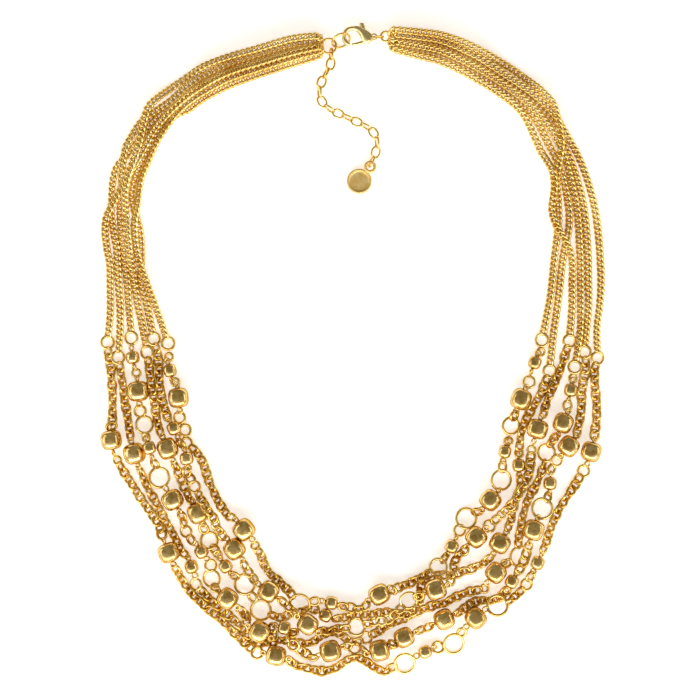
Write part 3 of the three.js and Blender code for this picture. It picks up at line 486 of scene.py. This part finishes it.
def gold(name, colour, deep, roughness, bump, grain):
    """A metal whose colour drifts between two tones with a noise, bumped by a finer one.

    The middle fifth of the noise is spread over the whole way between the tones, or they would
    hardly differ."""
    material = bpy.data.materials.new(name)
    material.use_nodes = True
    nodes, links = material.node_tree.nodes, material.node_tree.links
    shader = nodes["Principled BSDF"]
    shader.inputs["Metallic"].default_value = 1.0
    shader.inputs["Roughness"].default_value = roughness
    # The glancing tone is deep, as painted shade: a dark outline along every edge seen side on.
    shader.inputs["Specular Tint"].default_value = (*EDGE_TONE_AND_PAINTED_SHADE, 1)
    place = nodes.new("ShaderNodeTexCoord")
    drift = nodes.new("ShaderNodeTexNoise")
    drift.inputs["Scale"].default_value = grain
    tones = nodes.new("ShaderNodeMix")
    tones.data_type = "RGBA"
    tones.inputs[6].default_value = (*deep, 1)
    tones.inputs[7].default_value = (*colour, 1)
    links.new(place.outputs["Object"], drift.inputs["Vector"])
    spread = nodes.new("ShaderNodeMapRange")
    spread.inputs["From Min"].default_value = 0.4
    spread.inputs["From Max"].default_value = 0.6
    links.new(drift.outputs["Fac"], spread.inputs["Value"])
    links.new(spread.outputs["Result"], tones.inputs[0])
    links.new(tones.outputs[2], shader.inputs["Base Color"])
    dents = nodes.new("ShaderNodeTexNoise")
    dents.inputs["Scale"].default_value = 4 * grain
    relief = nodes.new("ShaderNodeBump")
    relief.inputs["Strength"].default_value = bump
    relief.inputs["Distance"].default_value = 0.1 * MM
    links.new(place.outputs["Object"], dents.inputs["Vector"])
    links.new(dents.outputs["Fac"], relief.inputs["Height"])
    links.new(relief.outputs["Normal"], shader.inputs["Normal"])
    return material


BEAD_GOLD = gold("bead_gold", (0.95, 0.71, 0.31), (0.70, 0.46, 0.14), 0.14, 0.5, 500)
LINK_GOLD = gold("link_gold", (0.90, 0.63, 0.21), (0.68, 0.41, 0.07), 0.17, 0.1, 120)
CURB_GOLD = gold("curb_gold", (1.0, 0.76, 0.29), (0.84, 0.56, 0.15), 0.22, 0.1, 60)
RING_GOLD = gold("ring_gold", (0.94, 0.71, 0.29), (0.86, 0.58, 0.17), 0.16, 0.1, 90)
CLASP_GOLD = gold("clasp_gold", (0.95, 0.81, 0.41), (0.88, 0.72, 0.32), 0.26, 0.1, 120)
TAG_GOLD = gold("tag_gold", (1.0, 0.79, 0.36), (0.95, 0.66, 0.24), 0.5, 1.0, 700)
print("finishes:", sorted(m.name for m in bpy.data.materials if m.name.endswith("_gold")))

# %% [markdown]
# ## Strands
#
# On the real necklace each large bead is threaded on an eye pin, and its two eyes hold the next
# link or ring. Each strand is read stop by stop: between two stops a chain of links runs from the
# wire of one to the wire of the next, and where they are close they hold each other.

# %% Sizes of the strands' pieces
BEAD_SIDE = 5.9 * MM
SMALL_SIDE = 3.8 * MM
PIN = 0.7 * MM
EYE = 2.4 * MM
RING_WIRE = 0.95 * MM
RING_SIZES = {"big": 7.3 * MM, "mid": 6.3 * MM, "joint": 4.9 * MM, "jump": 4.5 * MM, "tiny": 3.4 * MM}
CABLE_LINK = {"length": 4.1 * MM, "width": 3.7 * MM, "wire": 1.02 * MM}
CABLE_PITCH = 2.25 * MM
CABLE_ROLLS = np.radians([32, -38])
ROOM_FOR_LINKS = 1.2 * MM
LINE_STEP = 0.5 * MM


def read_stops(route):
    """The stops of a route as dictionaries: kind, place, axis along the strand, the reach of its
    wire from its middle, and the bends that follow it."""
    stops = []
    for entry in route:
        if isinstance(entry[0], str):
            stops.append({"kind": entry[0], "place": to_row(entry[1:]), "bends": []})
        else:
            stops[-1]["bends"].append(to_row(entry))
    chosen = [to_row(entry[-2:]) for entry in route]
    index = [i for i, entry in enumerate(route) if isinstance(entry[0], str)]
    for stop, i in zip(stops, index):
        along = chosen[min(i + 1, len(chosen) - 1)] - chosen[max(i - 1, 0)]
        stop["axis"] = along / np.linalg.norm(along)
        if stop["kind"] in RING_SIZES:
            stop["reach"] = (RING_SIZES[stop["kind"]] - RING_WIRE) / 2
        else:
            side = BEAD_SIDE if stop["kind"] == "bead" else SMALL_SIDE
            stop["reach"] = side / 2 + EYE - PIN / 2
    return stops


def reach_point(stop, towards, ahead):
    """Where a chain takes hold of a stop: on a ring's wire towards the next bend, or in the eye
    of a bead, on its axis."""
    if stop["kind"] in RING_SIZES:
        along = (towards - stop["place"]) / np.linalg.norm(towards - stop["place"])
    else:
        along = stop["axis"] * (1 if ahead else -1)
    return stop["place"] + stop["reach"] * along


# %% Chains of the strands
CABLE_FORM = oval_link(**CABLE_LINK)


def chain_between(node, start, end):
    """Links of cable chain from one stop to the next, or nothing where the two hold each other."""
    bends = start["bends"]
    first = reach_point(start, bends[0] if bends else end["place"], True)
    last = reach_point(end, bends[-1] if bends else start["place"], False)
    if not bends:
        towards = end["place"] - start["place"]
        room = (last - first) @ towards / np.linalg.norm(towards)
        if room < ROOM_FOR_LINKS:
            return None
    line = lay_on(node, smooth_line([first, *bends, last], LINE_STEP))
    length = length_along(line)[-1]
    count = max(1, int(round(length / CABLE_PITCH)))
    at = (np.arange(count) + 0.5) * length / count
    places, axes = frames_on(line, at)
    chance = steady(1, int(1e6 * abs(first[0])), int(1e6 * abs(first[1])))
    rolls = CABLE_ROLLS[np.arange(count) % 2] + chance.normal(0, 0.2, count)
    return copies(CABLE_FORM, places, rolled(axes, rolls))


# %% [markdown]
# ## Beads
#
# The beads are cubes that were tumbled until their faces became round. A cube with a Bevel modifier
# keeps square faces. The real shape is where a cube and a ball meet: a ball a little larger than
# the cube takes off its corners and leaves a flat disc on each side. Both are written as a distance
# from the middle in each direction, and the smaller one is taken, softly. With its corners gone a
# bead looked too small beside the photograph, so each is made 8 to 16 percent larger than its
# solid, and differs a little from the next in all three directions, as tumbled beads do.

# %% A tumbled cube with a hole
def tumbled_cube(side, hole, ball=1.22, around=40, along=25):
    """A cube rounded by a ball, with a hole along x: (points, faces).

    In the direction d the cube is half / (|dx|^4 + |dy|^4 + |dz|^4)^(1/4) away and the ball is
    ball * half away. The surface lies at (cube^-q + ball^-q)^(-1/q), which is close to the smaller
    of the two. Two narrower rings at each end lead into the hole, and the last one joins the
    first, which lines the hole."""
    half, softness = side / 2, 8
    start = math.atan2(0.5 * hole, 0.97 * half)
    theta = np.linspace(start, np.pi - start, along)[:, None]
    phi = 2 * np.pi * np.arange(around)[None, :] / around
    dx, dy, dz = np.cos(theta), np.sin(theta) * np.cos(phi), np.sin(theta) * np.sin(phi)
    d = np.stack(np.broadcast_arrays(dx, dy, dz))
    cube = half / (np.abs(d) ** 4).sum(axis=0) ** (1 / 4)
    r = (cube**-softness + (ball * half) ** -softness) ** (-1 / softness)
    outer = np.moveaxis(r * d, 0, 2)
    rim_x = half * np.array([0.5, 0.9])
    circle = 0.46 * hole * np.stack([0 * phi[0], np.cos(phi[0]), np.sin(phi[0])], axis=1)
    rims = circle[None] + rim_x[:, None, None] * np.array([1.0, 0, 0])
    points = np.concatenate([rims, outer, rims[::-1] * np.array([-1.0, 1, 1])])
    return points.reshape(-1, 3), wrapped_faces(len(points), around)[:, ::-1]


BEAD_FORM = tumbled_cube(BEAD_SIDE, 1.5 * MM)
SMALL_FORM = tumbled_cube(SMALL_SIDE, 1.1 * MM, around=24, along=15)
BEAD_GROWTH = (1.08, 1.16)
print("faces: large bead", len(BEAD_FORM[1]), "small bead", len(SMALL_FORM[1]))

# %% Pins and rings
PIN_BEYOND = 0.6 * MM
EYE_ROLL = math.radians(25)
RING_TIP = math.radians(14)


def straight_pin(length, wire, sides=8):
    """A pin along x: four rings of points r (cos v, sin v), of which the two at the ends narrow to
    a twentieth. The last ring joins the first inside the pin, which closes it."""
    half = length / 2
    x = np.array([-half, -half, half, half])
    r = wire / 2 * np.array([0.05, 1, 1, 0.05])
    v = 2 * np.pi * np.arange(sides) / sides
    points = np.stack([np.broadcast_to(x[:, None], (4, sides)), r[:, None] * np.cos(v),
                       r[:, None] * np.sin(v)], axis=2).reshape(-1, 3)
    return points, wrapped_faces(4, sides)


def axes_at(stop):
    """Level axes at a stop: forward along the strand, sideways and up."""
    x, y = stop["axis"]
    return np.array([[[x, -y, 0], [y, x, 0], [0, 0, 1]]])


def eye_pin(stop, height, side, chance):
    """A pin through a bead with an eye at each end."""
    axes = axes_at(stop)
    centre = np.array([[*stop["place"], height]])
    forms = [copies(straight_pin(side + PIN_BEYOND, PIN), centre, axes)]
    for sign in (-1, 1):
        eye = centre + sign * (side / 2 + EYE / 2) * axes[:, :, 0]
        roll = EYE_ROLL + chance.normal(0, 0.3)
        forms.append(copies(round_ring(EYE, PIN, 20, 8), eye, rolled(axes, np.array([roll]))))
    return together(forms)


def laid_ring(stop, height, number):
    """A ring of a strand, tipped a little so that its neighbours pass through it."""
    chance = steady(2, number)
    tip = RING_TIP * (-1) ** number
    axes = rolled(axes_at(stop), np.array([tip + chance.normal(0, 0.05)]))
    form = round_ring(RING_SIZES[stop["kind"]], RING_WIRE)
    return copies(form, np.array([[*stop["place"], height]]), axes)


# %% Height of a stop
def stop_height(node, stop):
    """The mean of what is read just before and after the stop, or on both sides of a big ring,
    whose wire is beside its middle."""
    along = stop["axis"] * NEARBY
    if stop["kind"] == "big":
        along = np.array([-stop["axis"][1], stop["axis"][0]]) * stop["reach"]
    readings = [middle_height(node, stop["place"] + sign * along) for sign in (-1, 1)]
    if np.isnan(readings).all():
        raise SystemExit(f"{node} has no solid at its {stop['kind']}")
    return float(np.nanmean(readings))


# %% How beads lie
TIP_TOWARDS = np.array([-0.5, 0.3])


def tipped(axes, chance):
    """Axes rolled about the pin so that a bead's top leans up and left in the picture, which shows
    its lower right side. Only the part of that lean that lies across the pin is possible."""
    across = float(axes[0, :2, 1] @ TIP_TOWARDS)
    return rolled(axes, np.array([-0.25 * across + chance.normal(0, 0.07)]))


# %% All strands and beads
bead_number = 0
ring_number = 0
for strand, route in STRAND_ROUTES.items():
    stops = read_stops(route)
    links, rings, smalls, pins = [], [], [], []
    for start, end in zip(stops, stops[1:]):
        chain = chain_between(strand, start, end)
        if chain:
            links.append(chain)
    for stop in stops:
        height = stop_height(strand, stop)
        if stop["kind"] in RING_SIZES:
            ring_number += 1
            rings.append(laid_ring(stop, height, ring_number))
            continue
        chance = steady(3, bead_number, len(smalls))
        is_large = stop["kind"] == "bead"
        side = BEAD_SIDE if is_large else SMALL_SIDE
        pins.append(eye_pin(stop, height, side, chance))
        axes = tipped(axes_at(stop), chance) * chance.uniform(*BEAD_GROWTH, 3)
        centre = np.array([[*stop["place"], height]])
        if is_large:
            bead_number += 1
            name = f"bead_{bead_number:02d}"
            add_piece(name + "_cube", copies(BEAD_FORM, centre, axes), BEAD_GOLD,
                      replaces=[name])
        else:
            smalls.append(copies(SMALL_FORM, centre, axes))
    add_piece(strand + "_links", together(links), LINK_GOLD, replaces=[strand])
    add_piece(strand + "_rings", together(rings), RING_GOLD)
    add_piece(strand + "_pins", together(pins), RING_GOLD)
    if smalls:
        add_piece(strand + "_small_beads", together(smalls), BEAD_GOLD)
    print(strand, "links", sum(len(p) for p, _ in links) // len(CABLE_FORM[0]), "rings", len(rings))

# %% [markdown]
# ## Side chains
#
# The fine chains are curb chains: each link is twisted so that the chain lies flat and looks like a
# rope. The line of each link rises and falls as it goes round, which passes it under one
# neighbour and over the other, as in the real chain. A chain leans to one side and the lean comes
# and goes every CURB_WAVE links, and it lies CURB_SINK below the middle of its solid.

# %% Curb chains
CURB_LINK = {"length": 2.9 * MM, "width": 2.65 * MM, "wire": 1.04 * MM, "twist": 0.36 * MM}
CURB_PITCH = 1.7 * MM
CURB_SINK = 0.35 * MM
CURB_WAVE = 34
CURB_FORM = oval_link(**CURB_LINK, points=12)
HOLD_NARROWING = 0.55
HOLD_INSIDE = 0.3 * MM


def ring_frame(node):
    """Middle and outer radius of one of the clasp's flat rings, from its solid."""
    low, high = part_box(node)
    return (low + high) / 2, (high.x - low.x) / 2


def side_line(name, strand, end, route):
    """A side chain's line: from the wire of the end ring through its bends to the wire of the
    joint ring. Six chains hold the end ring side by side, with their places drawn together
    along y."""
    points = to_row(route)
    joint_entry = STRAND_ROUTES[strand][0 if end == "first" else -1]
    joint = to_row(joint_entry[1:])
    along = (points[-2] - joint) / np.linalg.norm(points[-2] - joint)
    points[-1] = joint + along * (RING_SIZES["joint"] - RING_WIRE) / 2
    line = lay_on(name, smooth_line(points, LINE_STEP), CURB_SINK)
    middle, radius = ring_frame("left_end_ring" if name.startswith("left") else "right_end_ring")
    start = line[0]
    outward = start[:2] - np.array(middle[:2])
    outward[1] *= HOLD_NARROWING
    outward *= (radius - HOLD_INSIDE) / np.linalg.norm(outward)
    hold = np.array([middle.x + outward[0], middle.y + outward[1], middle.z])
    bridge = smooth_line([hold, start, line[4]], LINE_STEP)
    near = np.argmin(np.linalg.norm(bridge - start, axis=1))
    return np.vstack([bridge[:near], line])


for name, (strand, end, route) in SIDE_ROUTES.items():
    line = side_line(name, strand, end, route)
    length = length_along(line)[-1]
    count = int(round(length / CURB_PITCH))
    places, axes = frames_on(line, (np.arange(count) + 0.5) * length / count)
    chance = steady(4, int(name[-1]), len(name))
    lean, phase = chance.uniform(0.2, 0.5) * chance.choice([-1, 1]), chance.uniform(0, 2 * np.pi)
    wave = 0.2 * np.sin(2 * np.pi * np.arange(count) / CURB_WAVE + phase)
    rolls = lean + wave + chance.normal(0, 0.05, count)
    form = copies(CURB_FORM, places, rolled(axes, rolls))
    add_piece(name + "_links", form, CURB_GOLD, replaces=[name])
    print(name, "links", count, "length", round(1000 * length), "mm")

# %% [markdown]
# ## Rings at the clasp, and the extender
#
# Four round rings join the side chains, the clasp and the extender. They hold each other and the
# clasp, so each keeps the place and the tilt of its solid. The extender is a plain chain of oval
# links, each turned a quarter against the next.

# %% Rings at the clasp
END_WIRE = 0.72 * MM
CLASP_RING_WIRE = 0.5 * MM
HOOK_RING_TILT = math.radians(55)
END_RINGS = {"left_end_ring": 5.4, "right_end_ring": 3.8, "hook_ring": 6.6, "clasp_ring": 3.5}


def end_ring(name, wire, across, tilt):
    """A ring round the middle of its solid. Its plane holds one level direction, and it is tilted
    about that one."""
    low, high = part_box(name)
    middle = (low + high) / 2
    level = axes_at({"axis": np.asarray(across, float)})
    form = round_ring(END_RINGS[name] * MM, wire, 48, 12)
    return copies(form, np.array([middle]), rolled(level, np.array([tilt])))


left_middle, _ = ring_frame("left_end_ring")
hook_middle, _ = ring_frame("hook_ring")
towards_hook = np.array((hook_middle - left_middle)[:2])
towards_hook /= np.linalg.norm(towards_hook)
for name, wire, across, tilt in [
    ("left_end_ring", END_WIRE, (1, 0), 0.0),
    ("right_end_ring", END_WIRE, (1, 0), 0.0),
    ("hook_ring", END_WIRE, towards_hook, HOOK_RING_TILT),
    ("clasp_ring", CLASP_RING_WIRE, (1, 0), math.pi / 2),
]:
    form = end_ring(name, wire, across, tilt)
    add_piece(name + "_wire", form, RING_GOLD, replaces=[name])
    print(name, "of wire", round(1000 * wire, 2), "mm")

# %% Extender
EXTENDER_LINK = {"length": 4.2 * MM, "width": 3.4 * MM, "wire": 0.72 * MM}
EXTENDER_PITCH = 3.05 * MM
EXTENDER_HEIGHT = 1.9 * MM
EXTENDER_ROLLS = np.radians([70, -20])

line = smooth_line(to_row(EXTENDER_ROUTE), LINE_STEP)
line = np.column_stack([line, np.full(len(line), EXTENDER_HEIGHT)])
length = length_along(line)[-1]
gaps = 2 * int(round(length / EXTENDER_PITCH / 2))
places, axes = frames_on(line, np.arange(gaps + 1) * length / gaps)
rolls = EXTENDER_ROLLS[np.arange(gaps + 1) % 2]
form = copies(oval_link(**EXTENDER_LINK, points=24, sides=8), places, rolled(axes, rolls))
add_piece("extender_links", form, RING_GOLD, replaces=["extender_chain"])
print("extender links", gaps + 1, "pitch", round(1000 * length / gaps, 2), "mm")

# %% [markdown]
# ## Clasp and tag
#
# The clasp is cast, so its parts are round bars whose width changes along them. A curve with a
# bevel keeps one width. Here a bar is drawn by its two edges, as chosen on the picture, and each
# section is half an ellipse above its middle height and half of another one below.

# %% A bar between two edges
CLASP_HEIGHT = 2.8 * MM


def facing_out(form):
    """The same form with its faces outward, by the sign of the volume they enclose."""
    points, faces = form
    a, b, c, d = (points[faces[:, k]] for k in range(4))
    volume = (a * (np.cross(b, c) + np.cross(c, d))).sum()
    return points, faces if volume > 0 else faces[:, ::-1]


def bar_between(outer, inner, base, up, down, tip=0.5, sides=20, peak=1.0):
    """A bar between two edge lines, with its height over and under a base at each station.

    A section's points are middle + cos(a) * half across, at base + up * |sin a|^peak on its upper
    side and base - down * |sin a|^peak on its lower side. At the ends everything shrinks as
    sqrt(1 - (1 - d / tip)^2) with the distance d from the end."""
    stations = np.column_stack([to_row(outer), to_row(inner), np.multiply(up, MM), np.multiply(down, MM)])
    rows = smooth_line(stations, 0.2 * MM)
    run = length_along(rows)
    near = np.clip(np.minimum(run, run[-1] - run) / (tip * MM), 0, 1)
    shrink = np.maximum(0.15, np.sqrt(1 - (1 - near) ** 2))[:, None]
    a = 2 * np.pi * (np.arange(sides) + 0.5) / sides
    middle, half = (rows[:, :2] + rows[:, 2:4]) / 2, (rows[:, :2] - rows[:, 2:4]) / 2
    flat = middle[:, None] + (shrink * half)[:, None] * np.cos(a)[None, :, None]
    rise = np.where(a < np.pi, rows[:, 4:5], -rows[:, 5:6]) * np.abs(np.sin(a)) ** peak
    points = np.concatenate([flat, (base + shrink * rise)[:, :, None]], axis=2)
    return facing_out((points.reshape(-1, 3), capped_faces(len(rows), sides)))


# %% Clasp body
HOOK_OUTER = [
    [350.6, 47.5], [348.4, 47.4], [345.6, 46.2], [343.2, 43.6], [341.9, 38.6], [343, 33], [346.5, 29],
    [351.7, 27.4], [356.6, 27.4],
]
HOOK_INNER = [
    [350.6, 44.8], [349.5, 43.7], [348.4, 42.7], [347.4, 41.5], [346.2, 38.4], [347.4, 34.4],
    [349.5, 32.7], [352.2, 32.1], [355.9, 32.7],
]
SHELL_OUTER = [
    [353.6, 27.3], [358, 27.6], [362, 29], [366, 31.2], [369.6, 33.8], [372.2, 36.4], [373, 39],
]
SHELL_INNER = [
    [353.2, 31.8], [356.6, 33.2], [359, 35.8], [360.9, 40], [362.4, 43.4], [365, 45.7], [369.4, 45],
]
HOOK_RISE = [0.65, 0.7, 0.75, 0.8, 0.8, 0.8, 0.8, 0.8, 0.8]
SHELL_RISE = [0.3, 0.5, 0.7, 0.8, 0.8, 0.7, 0.5]
SHELL_FLAT = [0.03] * len(SHELL_RISE)
SHELL_PEAK = 2.4
HEEL_OUTER = [[371, 35.2], [372.2, 36.6], [373.4, 38]]
HEEL_INNER = [[371, 44.2], [372.2, 42], [373.4, 40]]
HEEL_RISE = [1.2, 1.1, 0.7]
SLOT = 0.55 * MM
PIVOT = [365.6, 40.6]
EYE_PIXEL = [373.9, 38.3]
LEVEL = np.eye(3)[None]
UPRIGHT = np.array([[[0.0, 1, 0], [0, 0, 1], [1, 0, 0]]])


def at_pixel(pixel, height):
    """A place above a pixel, as one row."""
    return np.array([[*to_row(pixel), height]])


# Two half shells leave the slot for the lever between them, and the heel joins them.
hook = bar_between(HOOK_OUTER, HOOK_INNER, CLASP_HEIGHT, HOOK_RISE, HOOK_RISE)
upper_shell = bar_between(SHELL_OUTER, SHELL_INNER, CLASP_HEIGHT + SLOT, SHELL_RISE, SHELL_FLAT,
                          peak=SHELL_PEAK)
lower_shell = bar_between(SHELL_OUTER, SHELL_INNER, CLASP_HEIGHT - SLOT, SHELL_FLAT, SHELL_RISE,
                          peak=SHELL_PEAK)
heel = bar_between(HEEL_OUTER, HEEL_INNER, CLASP_HEIGHT, HEEL_RISE, HEEL_RISE, 0.3)
rivet = copies(straight_pin(1.9 * MM, 1.0 * MM, 16), at_pixel(PIVOT, CLASP_HEIGHT), UPRIGHT)
eye = copies(round_ring(2.4 * MM, 0.5 * MM, 28, 8), at_pixel(EYE_PIXEL, CLASP_HEIGHT), LEVEL)
claw = together([hook, upper_shell, lower_shell, heel, rivet, eye])
add_piece("clasp_claw", claw, CLASP_GOLD, replaces=["clasp_body"])
print("clasp body:", len(claw[1]), "faces")

# %% Clasp lever
# The gate closes the hook, the tab is for the thumb, and the hub between them turns on the rivet.
GATE_OUTER = [[365.6, 44.4], [362, 45.6], [358, 46.6], [351.7, 47.5]]
GATE_INNER = [[363.4, 41.2], [360.6, 42.4], [357, 43.4], [351.7, 44.6]]
TAB_OUTER = [[367.4, 38], [366.6, 33.6], [365.4, 29.6], [364.2, 25.4], [363.4, 24]]
TAB_INNER = [[363.9, 38], [363, 33.4], [361.4, 29.6], [358.9, 25.8], [359.2, 24.4]]
LEVER_RISE = 0.45
TALLER = [1, 1, 1.8]

gate_rise, tab_rise = [LEVER_RISE] * len(GATE_OUTER), [LEVER_RISE] * len(TAB_OUTER)
gate = bar_between(GATE_OUTER, GATE_INNER, CLASP_HEIGHT, gate_rise, gate_rise, 0.3)
tab = bar_between(TAB_OUTER, TAB_INNER, CLASP_HEIGHT, tab_rise, tab_rise, 0.3)
hub = copies(round_ring(2.6 * MM, 0.5 * MM, 28, 8), at_pixel(PIVOT, CLASP_HEIGHT), LEVEL * TALLER)
lever = together([gate, tab, hub])
add_piece("clasp_gate", lever, CLASP_GOLD, body="lever", replaces=["clasp_lever"])
print("clasp lever:", len(lever[1]), "faces")

# %% Tag
# A disc with a raised rim, and a lug towards the extender. Its face is bare.
TAG_PIXEL, LUG_PIXEL = [359.2, 181.6], [370.5, 166.9]
LUG_AWAY = 5.7 * MM
LUG_RING = {"diameter": 4.1 * MM, "wire": 1.1 * MM, "points": 36, "sides": 10}
TAG_PROFILE = [
    [0.05, 0], [2, 0], [3.7, 0], [3.92, 0.08], [4, 0.28], [4, 1.35], [3.93, 1.58], [3.78, 1.69],
    [3.5, 1.7], [3.36, 1.62], [3.28, 1.4], [3.16, 1.24], [2.8, 1.2], [1.5, 1.24], [0.05, 1.26],
]


def turned(profile, sides=56):
    """A profile of radius and height turned about the upright axis: x = r cos v, y = r sin v."""
    r, z = (MM * np.array(profile, float).T)[:, :, None]
    v = 2 * np.pi * np.arange(sides)[None, :] / sides
    points = np.stack(np.broadcast_arrays(r * np.cos(v), r * np.sin(v), z), axis=2)
    return facing_out((points.reshape(-1, 3), capped_faces(len(profile), sides)))


tag_disc = copies(turned(TAG_PROFILE), at_pixel(TAG_PIXEL, 0.0), LEVEL)
away = to_row(LUG_PIXEL) - to_row(TAG_PIXEL)
lug_place = to_row(TAG_PIXEL) + away / np.linalg.norm(away) * LUG_AWAY
lug = copies(round_ring(**LUG_RING), np.array([[*lug_place, EXTENDER_HEIGHT]]), LEVEL)
add_piece("tag_disc", together([tag_disc, lug]), TAG_GOLD, replaces=["tag"])
print("tag:", 2 * max(r for r, z in TAG_PROFILE), "mm across")

# %% [markdown]
# ## Studio
#
# Polished gold shows the room more than its own colour. The photograph's beads have brown tops, a
# bright band along the side that faces the viewer, and bright edges. So the sky is a dark warm
# brown overhead and behind, and turns pale towards the front and the sides. A white floor lights
# the edges from below, and three large soft lights stand in front and at both sides.

# %% Floor
def plain(name, colour, roughness):
    """A matt finish of one colour."""
    material = bpy.data.materials.new(name)
    material.use_nodes = True
    shader = material.node_tree.nodes["Principled BSDF"]
    shader.inputs["Base Color"].default_value = (*colour, 1)
    shader.inputs["Roughness"].default_value = roughness
    shader.inputs["Specular IOR Level"].default_value = 0.1
    return material


bpy.ops.mesh.primitive_plane_add(size=6, location=(0, 0, -0.02 * MM))
floor = bpy.context.active_object
floor.name = "floor"
white = plain("floor_white", (0.93, 0.93, 0.93), 0.9)
floor_shader = white.node_tree.nodes["Principled BSDF"]
floor_shader.inputs["Emission Color"].default_value = (1.0, 0.97, 0.94, 1)
floor_shader.inputs["Emission Strength"].default_value = 0.52
floor.data.materials.append(white)
print("floor glow", round(floor_shader.inputs["Emission Strength"].default_value, 2))

# %% Sky, dark overhead and behind
# The middle of the dark half leans from the zenith towards +Y. A direction's dot product with it
# picks the tone: the first entry is square to it or beyond, and the last is the middle itself.
DARK_LEAN = math.radians(60)
world = bpy.data.worlds.new("studio")
bpy.context.scene.world = world
world.use_nodes = True
sky_nodes, sky_links = world.node_tree.nodes, world.node_tree.links
direction = sky_nodes.new("ShaderNodeTexCoord")
overhead = sky_nodes.new("ShaderNodeVectorMath")
overhead.operation = "DOT_PRODUCT"
overhead.inputs[1].default_value = (0, math.sin(DARK_LEAN), math.cos(DARK_LEAN))
ramp = sky_nodes.new("ShaderNodeValToRGB")
SKY_TONES = [
    (0.0, (0.85, 0.83, 0.80)), (0.14, (0.55, 0.52, 0.48)), (0.3, (0.34, 0.31, 0.26)),
    (0.46, (0.27, 0.24, 0.18)), (0.6, (0.26, 0.23, 0.17)), (1.0, (0.27, 0.24, 0.18)),
]
while len(ramp.color_ramp.elements) < len(SKY_TONES):
    ramp.color_ramp.elements.new(0.5)
for element, (nearness, tone) in zip(ramp.color_ramp.elements, SKY_TONES):
    element.position = nearness
    element.color = (*tone, 1)
sky_links.new(direction.outputs["Generated"], overhead.inputs[0])
sky_links.new(overhead.outputs["Value"], ramp.inputs["Fac"])
sky_links.new(ramp.outputs["Color"], sky_nodes["Background"].inputs["Color"])
sky_nodes["Background"].inputs["Strength"].default_value = 1.0
print("sky tones:", len(ramp.color_ramp.elements))

# %% Soft lights
def soft_light(name, place, width, depth, watts):
    """A flat area light that faces the middle of the necklace."""
    light = bpy.data.lights.new(name, "AREA")
    light.shape = "RECTANGLE"
    light.size, light.size_y = width, depth
    light.energy = watts
    lamp = bpy.data.objects.new(name, light)
    lamp.location = place
    lamp.rotation_euler = (-Vector(place)).to_track_quat("-Z", "Y").to_euler()
    bpy.context.scene.collection.objects.link(lamp)


soft_light("front", (0.0, -0.72, 0.6), 1.5, 0.42, 5.8)
soft_light("left", (-0.85, 0.1, 0.5), 0.8, 0.35, 1.2)
soft_light("right", (0.85, 0.1, 0.5), 0.8, 0.35, 1.2)

# %% Camera straight above
FRAME_WIDTH = 700 * MM_PER_PIXEL * MM
camera_data = bpy.data.cameras.new("above")
camera_data.lens = 100
camera_data.sensor_width = 36
camera = bpy.data.objects.new("above", camera_data)
frame_middle = to_row([350, 350])
camera_height = FRAME_WIDTH * camera_data.lens / camera_data.sensor_width
camera.location = (*frame_middle, camera_height)
bpy.context.scene.collection.objects.link(camera)
bpy.context.scene.camera = camera
bpy.context.scene.view_settings.view_transform = "Standard"
print("camera height", round(camera_height, 3), "m")
